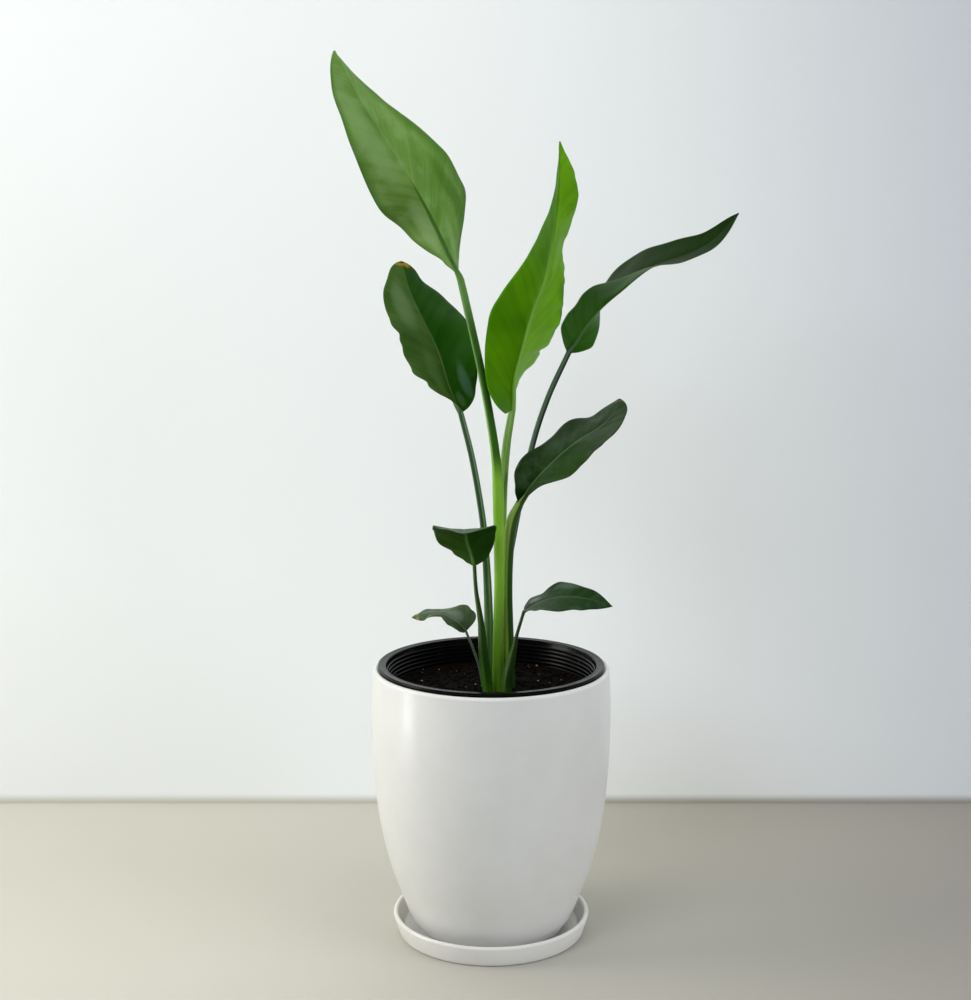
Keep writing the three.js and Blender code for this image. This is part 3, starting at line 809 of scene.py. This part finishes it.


# ---------------- tall leaf, left
# The tallest leaf: its petiole rises from the middle, wraps the young leaf's, and leans left and forward.
# The blade shows its paler, matt underside; the stout midrib is painted darker along it, as the shade of
# a raised rib.

tall = dict(
    spine=[
        (-26, -44, 360), (-35, -50, 378), (-50, -62, 410), (-65, -75, 437),
        (-84, -90, 467), (-104, -103, 500), (-121, -112, 534),
    ],
    upward=(0.4, 0.9, 0.3), blunt=0.9,
    margin=[
        (1, 0.05, -3, 0.04), (1, 0.14, -5, 0.04), (1, 0.25, 2, 0.04), (1, 0.81, -2.5, 0.06),
        (1, 0.97, 1.5, 0.04), (-1, 0.06, 3, 0.04), (-1, 0.18, -3, 0.04), (-1, 0.3, 4.5, 0.045),
        (-1, 0.48, 2, 0.08), (-1, 0.75, -2.8, 0.08), (-1, 0.97, -2, 0.04),
    ],
    half=(49, 33), widest=0.39, heel=1.5, point=1.8,
    twist=[30, 30, 55, 60], fold_left=[85, 45, 35, 55], fold_right=[85, 30, -5, 20],
    ripple=[(1, 3.5, 0.8, 0.1), (-1, 2.5, 1, 0.4)],
    slant=1.1, pleat=15, relief=0.06, seed=1, neck=3,
    stem=[
        (6, -10, -13, 5.5), (6, -12, 46, 4.6), (7, -14, 100, 4.3), (6, -18, 170, 4.8),
        (3, -22, 214, 3.8), (-7, -30, 274, 3.3), (-20, -40, 334, 3.2),
    ],
    channel=(0.5, 0.85, 0.2), sink=0.3, clasp=190,
)
tall_top = leaf_skin(
    "tall_leaf_upper", ((0.018, 0.06, 0.008), (0.04, 0.105, 0.018)), None,
    (0.08, 0.16, 0.04), (0.17, 0.28, 0.07), 235)
# painted sheen in pale blotches and patches, painted shade in one dark patch and along the midrib
tall_under = leaf_skin(
    "tall_leaf_underside", ((0.08, 0.2, 0.02), (0.175, 0.33, 0.07)),
    ((0.085, 0.19, 0.022), (0.2, 0.36, 0.088)), (0.21, 0.37, 0.11), (0.03, 0.1, 0.008), 235,
    gloss=0.42, shine=0.2, slant=1.1, rib_width=0.7, rib_end=0.62, streaks=0.35,
    edge=((0.045, 0.135, 0.01), 0.6, 0.72), cloud=((0.26, 0.4, 0.15), 0.35), glow=0.15,
    sheen_and_shade_patches=[
        ((0.29, 0.44, 0.19), 0.55, 9, 62, 10, 32), ((0.24, 0.39, 0.14), 0.6, 12, 150, 12, 50),
        ((0.23, 0.38, 0.12), 0.6, -14, 45, 6, 22), ((0.055, 0.15, 0.012), 0.6, -32, 75, 8, 40),
    ])
add_blade("tall_leaf", "blade_tall_left", tall, tall_top, tall_under)
# painted shade down one flank of the upper petiole, and on the keel that runs under the blade as the dark
# midrib
tall_stalk_skin = stalk_skin(
    "tall_leaf_petiole", (0.11, 0.26, 0.012), (0.22, 0.48, 0.025), (0.11, 0.24, 0.05),
    (0.24, 0.4, 0.11), (0.018, 0.085, 0.003), shade_side=-1.0, shade_share=(0.52, 0.6, 0.86, 0.97),
    shade_edge=-0.1, glow=0.15, keel=(0.045, 0.13, 0.012))
add_stalk("tall_leaf_stalk", "stem_tall_left", tall, tall_stalk_skin)


# ---------------- middle leaf, left
# A full-grown leaf that leans left and back and shows its dark, shiny upper side.
# Its tip is scorched brown with a yellow edge.

middle_left = dict(
    spine=[
        (-26, 8, 243), (-36, 16, 263), (-45, 25, 291), (-58, 36, 320), (-70, 47, 344), (-79, 58, 372),
    ],
    upward=(0.3, -0.85, 0.4), blunt=0.55,
    margin=[
        (-1, 0.18, -1.5, 0.04), (-1, 0.25, -4.5, 0.025), (-1, 0.31, 2.5, 0.03), (-1, 0.55, -3, 0.025),
        (-1, 0.49, -2, 0.03), (-1, 0.61, 1.5, 0.03), (-1, 0.9, -6, 0.08), (1, 0.13, -1.2, 0.05),
        (1, 0.89, -6.5, 0.06),
    ],
    half=(36, 34), widest=0.5, heel=2, point=2.2,
    twist=[25, -10, 10, 20], fold_left=[45, 30, 10, 0], fold_right=[30, 35, 0, -15],
    ripple=[(-1, 4, 1.3, 0), (1, 2.5, 1, 0.3)],
    slant=0.9, pleat=12, relief=0.05, seed=2, neck=2.5,
    stem=[
        (-3, -3, -13, 4.2), (-2, -2, 39, 4), (-3, -1, 88, 3.6), (-6, 1, 136, 3),
        (-10, 3, 167, 2.8), (-17, 6, 205, 2.7),
    ],
    channel=(0.3, -0.85, 0.3), sink=0.8, clasp=110,
)
dark_under = leaf_skin(
    "dark_leaf_underside", ((0.022, 0.085, 0.005), (0.05, 0.14, 0.018)), None,
    (0.08, 0.17, 0.04), (0.16, 0.28, 0.08), 170,
    gloss=0.4, shine=0.2, rib_width=0.8, edge=((0.2, 0.32, 0.14), 0.8, 0.965))
# one half painted paler with sheen and the other painted darker with shade, and painted sheen in soft
# patches
middle_left_top = leaf_skin(
    "middle_left_leaf_upper", ((0.038, 0.1, 0.01), (0.085, 0.165, 0.035)),
    ((0.006, 0.048, 0.0006), (0.018, 0.088, 0.002)), (0.06, 0.13, 0.02), (0.1, 0.19, 0.055), 150,
    gloss=0.3, rib_width=0.9, rib_end=0.75, rib_strength=0.75,
    scorch=(6.0, (0.42, 0.26, 0.015), (0.045, 0.018, 0.006)),
    sheen_and_shade_patches=[
        ((0.17, 0.26, 0.11), 0.6, -16, 108, 12, 30), ((0.13, 0.23, 0.07), 0.5, -12, 45, 8, 28),
        ((0.11, 0.22, 0.13), 0.5, 15, 30, 6, 24), ((0.1, 0.18, 0.07), 0.5, 5, 14, 4, 12),
    ])
add_blade("middle_left_leaf", "blade_middle_left", middle_left, middle_left_top, dark_under)
# painted shade down one flank and a painted highlight stripe
middle_left_skin = stalk_skin(
    "middle_left_petiole", (0.1, 0.25, 0.015), (0.085, 0.185, 0.05), (0.085, 0.15, 0.08),
    (0.3, 0.38, 0.3), (0.02, 0.065, 0.015), shade_side=-1.0, shade_share=(0.25, 0.45, 0.9, 1.2),
    shade_edge=0.35, lit=0.6, lit_at=0.15)
add_stalk("middle_left_stalk", "stem_middle_left", middle_left, middle_left_skin)


# ---------------- young leaf, centre
# The newest leaf, thin and bright yellow-green, still half rolled. Light comes through it.
# Its underside faces forward, with a pale raised midrib and a frilled right edge.

young = dict(
    spine=[
        (17, -15, 248), (18.5, -20, 274), (26, -26, 303), (34.5, -32, 331), (44, -38, 356),
        (49, -44, 381), (53, -50, 411), (55, -54, 439), (55, -56, 469),
    ],
    upward=(0.2, 0.95, 0.2), blunt=1,
    margin=[
        (-1, 0.06, -7, 0.05), (-1, 0.12, -6, 0.012), (-1, 0.165, 5, 0.02), (-1, 0.205, -5.5, 0.009),
        (-1, 0.25, 1.5, 0.02), (-1, 0.31, -1.5, 0.01), (-1, 0.45, -3.5, 0.09), (-1, 0.51, -2.5, 0.015),
        (-1, 0.57, -4, 0.03), (-1, 0.61, -5, 0.03), (1, 0.33, 2, 0.05), (1, 0.78, -4, 0.07),
    ],
    half=(50, 32), widest=0.2, heel=4, point=1.3,
    twist=[70, 25, 15, -25], fold_left=[30, 40, 65, 30], fold_right=[-20, 25, 65, 45],
    ripple=[(-1, 11, 1.6, 0.2), (-1, 23, 0.8, 0.5), (1, 3, 0.7, 0.3)],
    slant=1.2, pleat=14, relief=0.05, seed=3, neck=3,
    stem=[
        (7, 6, -13, 5), (9, 5, 60, 4.4), (9, 4, 123, 4.2), (10, 0, 176, 4), (13, -7, 216, 3.6),
    ],
    channel=(0.2, 0.95, 0.1), sink=0.3, clasp=120,
)
young_top = leaf_skin(
    "young_leaf_upper", ((0.05, 0.16, 0.004), (0.11, 0.27, 0.012)), None,
    (0.16, 0.34, 0.04), (0.26, 0.44, 0.1), 235,
    slant=1.2, glow=0.3)
# one half painted lighter and the other darker: painted light and shade across the half-rolled blade
young_under = leaf_skin(
    "young_leaf_underside", ((0.095, 0.28, 0.001), (0.185, 0.43, 0.016)),
    ((0.034, 0.135, 0.0003), (0.085, 0.235, 0.0008)), (0.17, 0.36, 0.03), (0.18, 0.37, 0.05), 235,
    gloss=0.36, shine=0.22, slant=1.2, rib_width=0.7, rib_strength=0.85, streaks=0.35,
    edge=((0.07, 0.26, 0.002), 0.5, 0.9), glow=0.3)
add_blade("young_leaf", "blade_centre_young", young, young_top, young_under)
# a painted highlight stripe along the petiole
young_skin = stalk_skin(
    "young_petiole", (0.13, 0.3, 0.016), (0.26, 0.48, 0.08), (0.17, 0.35, 0.055),
    (0.48, 0.68, 0.3), (0.06, 0.19, 0.006), lit=0.45, lit_at=-0.2, glow=0.2,
    keel=(0.19, 0.39, 0.05))
add_stalk("young_stalk", "stem_centre_young", young, young_skin)


# ---------------- upper leaf, right
# It reaches out to the right, folded along its midrib like a trough and twisted once,
# so its near half shows first the outside and then the dark inside.

upper_right = dict(
    spine=[
        (67, 22, 294), (77, 20, 311), (92, 16, 331), (110, 12, 347), (135, 8, 367),
        (161, 6, 377), (186, 6, 389), (210, 8, 413),
    ],
    upward=(-0.45, -0.1, 0.85), blunt=0.85,
    margin=[
        (-1, 0.34, 3, 0.035), (-1, 0.1, 2, 0.04), (-1, 0.65, -3.5, 0.08), (1, 0.12, 2, 0.04),
        (1, 0.25, -3, 0.04), (1, 0.39, 5.5, 0.05), (1, 0.8, -3, 0.06),
    ],
    half=(38, 36), widest=0.47, heel=1.5, point=0.7,
    twist=[-65, -15, 10, 30], fold_left=[-30, 20, 15, 20], fold_right=[10, 25, 10, 0],
    ripple=[(-1, 3, 0.8, 0.2), (1, 2.5, 0.8, 0.6)],
    slant=0.9, pleat=12, relief=0.045, seed=4, neck=2.4,
    stem=[
        (17, 11, -13, 4), (15, 11, 40, 3.2), (15, 12, 99, 2.8), (20, 15, 135, 2.7),
        (35, 22, 208, 2.6), (49, 22, 253, 2.5),
    ],
    channel=(0.1, -1, 0.1), sink=0.5, clasp=110,
)
upper_right_top = leaf_skin(
    "upper_right_leaf_upper", ((0.006, 0.022, 0.001), (0.012, 0.034, 0.004)), None,
    (0.04, 0.075, 0.03), (0.06, 0.1, 0.035), 190,
    shine=0.28, rib_width=0.8, edge=((0.16, 0.22, 0.12), 0.7, 0.97))
upper_right_under = leaf_skin(
    "upper_right_leaf_underside", ((0.016, 0.085, 0.002), (0.042, 0.13, 0.014)),
    ((0.016, 0.085, 0.002), (0.05, 0.14, 0.02)), (0.06, 0.16, 0.03), (0.12, 0.23, 0.07), 190,
    shine=0.25, rib_width=0.7, rib_end=0.5, edge=((0.25, 0.36, 0.2), 0.9, 0.96))
add_blade(
    "upper_right_leaf", "blade_upper_right", upper_right, upper_right_top, upper_right_under)
# painted shade down one flank and a painted highlight stripe
upper_right_skin = stalk_skin(
    "upper_right_petiole", (0.09, 0.2, 0.02), (0.095, 0.155, 0.095), (0.095, 0.15, 0.105),
    (0.2, 0.28, 0.2), (0.01, 0.03, 0.008), shade_share=(0.2, 0.4, 1.1, 1.6),
    shade_edge=0.25, lit=0.5, lit_at=-0.35, keel=(0.07, 0.16, 0.04))
add_stalk("upper_right_stalk", "stem_upper_right", upper_right, upper_right_skin)


# ---------------- middle leaf, right
# A dark leaf on a stout, curved petiole, yellow-green on its lit left and painted dark with shade on its
# right.
# The blade shows its upper side with a pale midrib, and its tip is browned.

middle_right = dict(
    spine=[
        (24, -14, 167), (33, -13, 181), (46, -10, 196), (61, -6, 210), (76, -2, 221),
        (94, 3, 232), (105, 7, 243), (111, 10, 255),
    ],
    upward=(-0.5, -0.65, 0.6), blunt=0.6,
    margin=[
        (1, 0.18, -4.5, 0.06), (1, 0.33, 2, 0.05), (1, 0.44, -1.3, 0.04), (1, 0.6, 2.5, 0.04),
        (1, 0.82, -3, 0.1), (-1, 0.1, -2.5, 0.04), (-1, 0.38, -1.5, 0.05), (-1, 0.73, -4.5, 0.09),
    ],
    half=(34, 35), widest=0.54, heel=1.5, point=1.5,
    twist=[20, -5, -15, -20], fold_left=[75, 0, 0, -15], fold_right=[65, 5, 10, 0],
    ripple=[(-1, 3.5, 1.2, 0.1), (1, 3, 0.8, 0.5)],
    slant=0.9, pleat=11, relief=0.05, seed=5, neck=3.6,
    stem=[
        (16, -4, -13, 5), (15, -4, 44, 4.6), (14, -5, 89, 4.4), (15, -6, 125, 4.7), (18, -9, 150, 5),
    ],
    channel=(0.15, -1, 0), sink=0.8, clasp=150,
)
# painted sheen in blotches and in a pale patch on the base lobe; the two halves differ a little as
# painted light and shade
middle_right_top = leaf_skin(
    "middle_right_leaf_upper", ((0.006, 0.024, 0.002), (0.018, 0.048, 0.008)),
    ((0.009, 0.034, 0.003), (0.025, 0.062, 0.01)), (0.04, 0.09, 0.03), (0.13, 0.23, 0.075), 128,
    gloss=0.32, shine=0.26, rib_width=0.75, rib_end=1.1, rib_strength=0.75,
    cloud=((0.07, 0.115, 0.06), 0.3),
    sheen_and_shade_patches=[((0.17, 0.26, 0.2), 0.7, -24, 22, 6, 9)],
    edge=((0.06, 0.03, 0.015), 0.5, 0.97), scorch=(3.6, (0.14, 0.1, 0.045), (0.06, 0.028, 0.018)))
add_blade(
    "middle_right_leaf", "blade_middle_right", middle_right, middle_right_top, dark_under)
# painted shade down one flank and a painted highlight stripe
middle_right_skin = stalk_skin(
    "middle_right_petiole", (0.12, 0.25, 0.014), (0.21, 0.38, 0.03), (0.24, 0.37, 0.06),
    (0.34, 0.5, 0.12), (0.011, 0.055, 0.004), shade_share=(-0.1, 0.0, 1.6, 1.8),
    shade_edge=-0.15, lit=0.3, lit_at=-0.6)
add_stalk("middle_right_stalk", "stem_middle_right", middle_right, middle_right_skin)


# ---------------- small leaf, left
# A small leaf that stands up from its thin petiole and then bends forward over the pot,
# so its dark underside and pale midrib show, under a curled edge.

small_left = dict(
    spine=[
        (-14.5, -24, 115), (-17.5, -26, 127), (-20.5, -30, 137), (-22, -36, 146), (-23, -45, 150),
        (-23, -60, 152), (-23, -82, 153),
    ],
    upward=(0, 0.6, 0.8), blunt=0.7,
    margin=[
        (1, 0.08, -4, 0.05), (1, 0.3, 1, 0.08), (1, 0.18, -2.5, 0.04), (-1, 0.03, 2, 0.05),
        (-1, 0.38, -1.5, 0.08),
    ],
    half=(27, 28), widest=0.45, heel=1.8, point=1.5,
    twist=[0, 0, 0, 0], fold_left=[10, 5, 0, 0], fold_right=[10, 5, 0, 0], curl=10,
    ripple=[(-1, 3, 0.8, 0.1), (1, 4, 1, 0.5)],
    slant=0.8, pleat=9, relief=0.04, seed=6, neck=1.6,
    stem=[
        (-1, -18, -13, 4), (-4, -19, 13, 4.4), (-7, -20, 39, 4.1), (-9, -21, 64, 2.7),
        (-13, -22, 91, 1.8),
    ],
    channel=(0.2, 0.9, 0.1), sink=0.3, clasp=80,
)
# painted sheen in pale blotches
small_top = leaf_skin(
    "small_leaf_upper", ((0.016, 0.048, 0.01), (0.045, 0.09, 0.032)), None,
    (0.08, 0.13, 0.05), (0.075, 0.125, 0.055), 90,
    rib_width=0.9, cloud=((0.11, 0.16, 0.105), 0.55),
    edge=((0.12, 0.18, 0.1), 0.5, 0.96))
small_under = leaf_skin(
    "small_leaf_underside", ((0.007, 0.036, 0.0015), (0.018, 0.066, 0.004)),
    ((0.014, 0.048, 0.003), (0.032, 0.085, 0.008)), (0.04, 0.1, 0.02), (0.075, 0.15, 0.03), 90,
    gloss=0.42, shine=0.2, rib_width=0.9, rib_end=1.1, edge=((0.13, 0.2, 0.11), 0.7, 0.965))
add_blade("small_left_leaf", "blade_small_left", small_left, small_top, small_under)
# painted shade down one flank and a painted highlight stripe
small_skin = stalk_skin(
    "small_left_petiole", (0.04, 0.125, 0.004), (0.014, 0.048, 0.006), (0.034, 0.08, 0.02),
    (0.12, 0.25, 0.04), (0.01, 0.038, 0.002), shade_side=-1.0, shade_share=(0.0, 0.3, 0.9, 1.2),
    shade_edge=0.1, lit=0.2, lit_at=0.3, keel=(0.075, 0.15, 0.03))
add_stalk("small_left_stalk", "stem_small_left", small_left, small_skin)


# ---------------- lowest leaf, left
# The smallest leaf, on a thread of a petiole, dull greyish green and twisted towards its tip.

lowest_left = dict(
    spine=[
        (-22, -4, 52), (-28, -4, 59), (-36, -2, 64), (-45, 1, 67), (-56, 5, 66), (-70, 9, 61),
    ],
    upward=(0.2, -0.3, 0.9), blunt=0.8,
    margin=[
        (-1, 0.05, -2.5, 0.04), (-1, 0.33, 2, 0.05), (-1, 0.5, -4, 0.05), (-1, 0.67, 3, 0.05),
        (1, 0.2, -1.5, 0.05), (1, 0.45, -0.5, 0.06), (1, 0.63, 2, 0.04), (1, 0.77, -2.5, 0.06),
        (1, 0.92, -2.5, 0.04),
    ],
    half=(15, 19), widest=0.31, heel=2.6, point=1.4,
    twist=[-20, -5, 10, -30], fold_left=[30, 15, 0, -30], fold_right=[40, 15, -5, -15],
    ripple=[(-1, 2.5, 0.7, 0.2), (1, 2, 0.6, 0.7)],
    slant=0.7, pleat=6, relief=0.03, seed=7, neck=1.1,
    stem=[(-6, 4, -13, 1.6), (-8, 2, 6, 1.4), (-12, 0, 24, 1.2)],
    channel=(0.2, -0.3, 0.9), sink=0.8, clasp=20,
)
# one half painted lighter than the other as painted light and shade, with painted sheen in blotches and a
# soft patch
lowest_top = leaf_skin(
    "lowest_leaf_upper", ((0.018, 0.046, 0.009), (0.045, 0.085, 0.03)),
    ((0.03, 0.06, 0.018), (0.085, 0.125, 0.065)), (0.12, 0.17, 0.08), (0.15, 0.2, 0.11), 56,
    gloss=0.36, slant=0.7, rib_width=0.8, cloud=((0.17, 0.22, 0.165), 0.4),
    sheen_and_shade_patches=[((0.19, 0.245, 0.185), 0.5, 4, 20, 9, 12)],
    scorch=(3.2, (0.3, 0.26, 0.08), (0.11, 0.085, 0.04)))
add_blade("lowest_left_leaf", "blade_lowest_left", lowest_left, lowest_top, dark_under)
# a painted highlight stripe along the thin petiole
thin_skin = stalk_skin(
    "thin_petiole", (0.045, 0.085, 0.025), (0.085, 0.12, 0.07), (0.1, 0.13, 0.085),
    (0.22, 0.26, 0.19), (0.02, 0.045, 0.012), lit=0.3, lit_at=-0.3)
add_stalk("lowest_left_stalk", "stem_lowest_left", lowest_left, thin_skin)


# ---------------- lowest leaf, right
# A short leaf low on the right, arched over its own midrib and drooping to its tip,
# on a thin petiole that widens into a sheath at the foot.

lowest_right = dict(
    spine=[
        (28, -22, 74), (40, -22, 82), (55, -21, 86), (71, -20, 86), (88, -19, 83), (105, -18, 77),
    ],
    upward=(0, -0.4, 0.9), blunt=0.9,
    margin=[
        (-1, 0.12, 2, 0.05), (-1, 0.29, -4, 0.06), (-1, 0.47, 1.5, 0.05), (-1, 0.7, -1.3, 0.08),
        (1, 0.09, -5, 0.04), (1, 0.2, -2, 0.04), (1, 0.67, 2, 0.07),
    ],
    half=(21, 26), widest=0.3, heel=2.3, point=0.8,
    twist=[-25, -10, 10, 40], fold_left=[0, -5, 15, 15], fold_right=[15, 0, 10, -10],
    ripple=[(-1, 2.5, 0.8, 0.2), (1, 2, 0.7, 0.7)],
    slant=0.8, pleat=9, relief=0.04, seed=8, neck=1.4,
    stem=[
        (12, -19, -13, 5), (14, -20, 13, 4.5), (17, -20, 27, 3.9), (20, -21, 41, 2.4),
        (22, -22, 52, 1.5),
    ],
    channel=(-0.5, -0.6, 0.6), sink=0.8, clasp=55,
)
# one half painted a little darker as painted shade, with painted sheen in blotches and two pale patches
lowest_right_top = leaf_skin(
    "lowest_right_leaf_upper", ((0.012, 0.038, 0.007), (0.028, 0.064, 0.018)),
    ((0.008, 0.03, 0.004), (0.02, 0.054, 0.011)), (0.06, 0.11, 0.04), (0.08, 0.13, 0.07), 90,
    gloss=0.32, rib_width=1.4, rib_strength=0.6, cloud=((0.1, 0.145, 0.095), 0.3),
    sheen_and_shade_patches=[((0.2, 0.26, 0.21), 0.7, -8, 14, 6, 8), ((0.12, 0.17, 0.12), 0.6, -13, 44, 5, 14)],
    scorch=(2.6, (0.28, 0.26, 0.06), (0.16, 0.13, 0.04)))
add_blade(
    "lowest_right_leaf", "blade_lowest_right", lowest_right, lowest_right_top, dark_under)
# painted shade down one flank and a painted highlight stripe
lowest_right_skin = stalk_skin(
    "lowest_right_petiole", (0.045, 0.13, 0.008), (0.045, 0.11, 0.014), (0.03, 0.055, 0.022),
    (0.17, 0.27, 0.07), (0.01, 0.03, 0.003), shade_share=(0.0, 0.3, 1.0, 1.3),
    shade_edge=0.35, lit=0.35, lit_at=-0.75)
add_stalk("lowest_right_stalk", "stem_lowest_right", lowest_right, lowest_right_skin)


# ---------------- floor, light and camera
# A pale sweep of floor and wall, painted lighter on the left and darker on the right as painted light and
# shade, and broad soft lights from the left, right, front and above.
# Two small lamps do no more than put a glint on the cover pot and on the rims.

deselect_all()
bpy.ops.mesh.primitive_plane_add(size=1, location=(0, 0, 0))
floor = bpy.context.object
floor.name = "floor_sweep"
edit_new()
floor_width, floor_depth, wall_behind, wall_height = 8, 3.2, 0.33, 3.0
bpy.ops.transform.resize(value=(floor_width, floor_depth, 1), center_override=(0, 0, 0))
bpy.ops.transform.translate(value=(0, wall_behind - floor_depth / 2, 0))
bpy.ops.mesh.select_all(action="DESELECT")
bpy.ops.object.mode_set(mode="OBJECT")
for edge in floor.data.edges:
    edge.select = all(floor.data.vertices[i].co.y > 0 for i in edge.vertices)
bpy.ops.object.mode_set(mode="EDIT")
bpy.ops.mesh.extrude_region_move(TRANSFORM_OT_translate={"value": (0, 0, wall_height)})
bpy.ops.object.mode_set(mode="OBJECT")
paint = Finish("pale_sweep")
mottle = paint.noise(2.0, 3.0)
sideways = paint.part(paint.place(), 0)
height = paint.part(paint.place(), 2)
# painted light and shade: wall and floor painted lighter on the left, by the window light, and darker on
# the right
wall_painted_falloff = (sideways + height * 0.25).step(0.1, 0.95)
floor_painted_falloff = sideways.step(-0.45, 0.75)
floor_colour_with_painted_light = paint.blend(floor_painted_falloff, (0.6, 0.585, 0.51), (0.29, 0.27, 0.24))
wall_colour_with_painted_light = paint.blend(wall_painted_falloff, (0.95, 0.97, 0.96), (0.48, 0.515, 0.55))
dress(floor, paint.coat({
    "Base Color": paint.blend(height.step(0.0, 0.012), floor_colour_with_painted_light, wall_colour_with_painted_light),
    "Roughness": 0.7 + mottle * 0.1,
}))


def soft_light(name, place, aim, size, power, colour):
    data = bpy.data.lights.new(name, "AREA")
    data.shape = "RECTANGLE"
    data.size, data.size_y = size
    data.energy = power
    data.color = colour
    lamp = bpy.data.objects.new(name, data)
    lamp.location = place
    lamp.rotation_euler = (Vector(aim) - Vector(place)).to_track_quat("-Z", "Y").to_euler()
    bpy.context.collection.objects.link(lamp)
    return lamp


soft_light("window", (-2.0, -0.15, 1.0), (0, 0, 0.4), (0.9, 1.5), 22.5, (1.0, 0.96, 0.85))
bounce = soft_light("bounce", (1.7, -0.8, 0.8), (0, 0, 0.35), (1.3, 1.4), 20.0, (0.9, 0.94, 1.0))
bounce.visible_glossy = False
room = soft_light("room", (-1.3, -1.7, 1.5), (0, 0, 0.3), (1.2, 1.0), 23.5, (0.78, 0.86, 1.0))
room.visible_glossy = False
low_glint = soft_light(
    "low_glint", (-0.74, -0.13, 0.055), (-0.07, -0.08, 0.19), (0.16, 0.09), 0.45, (1.0, 1.0, 1.0))
low_glint.visible_diffuse = False
top = soft_light("top", (0, -0.3, 2.2), (0, 0.05, 0), (2.0, 1.6), 16, (1.0, 0.93, 0.82))
top.visible_glossy = False
lip_glint = soft_light("lip_glint", (0.1, -1.0, 1.9), (0, 0, 0.25), (0.4, 0.2), 0.5, (1.0, 1.0, 1.0))
lip_glint.visible_diffuse = False

world = bpy.data.worlds.new("room")
world.use_nodes = True
world.node_tree.nodes["Background"].inputs["Color"].default_value = (0.92, 0.97, 1.0, 1.0)
world.node_tree.nodes["Background"].inputs["Strength"].default_value = 0.12
bpy.context.scene.world = world
bpy.context.scene.view_settings.view_transform = "Standard"

camera_data = bpy.data.cameras.new("camera")
camera_data.lens = 59.4
camera_data.sensor_width = 36.0
camera = bpy.data.objects.new("camera", camera_data)
camera.location = (-0.005, -1.414, 0.618)
camera.rotation_euler = (math.radians(90 - 9.1), 0, 0)
bpy.context.collection.objects.link(camera)
bpy.context.scene.camera = camera
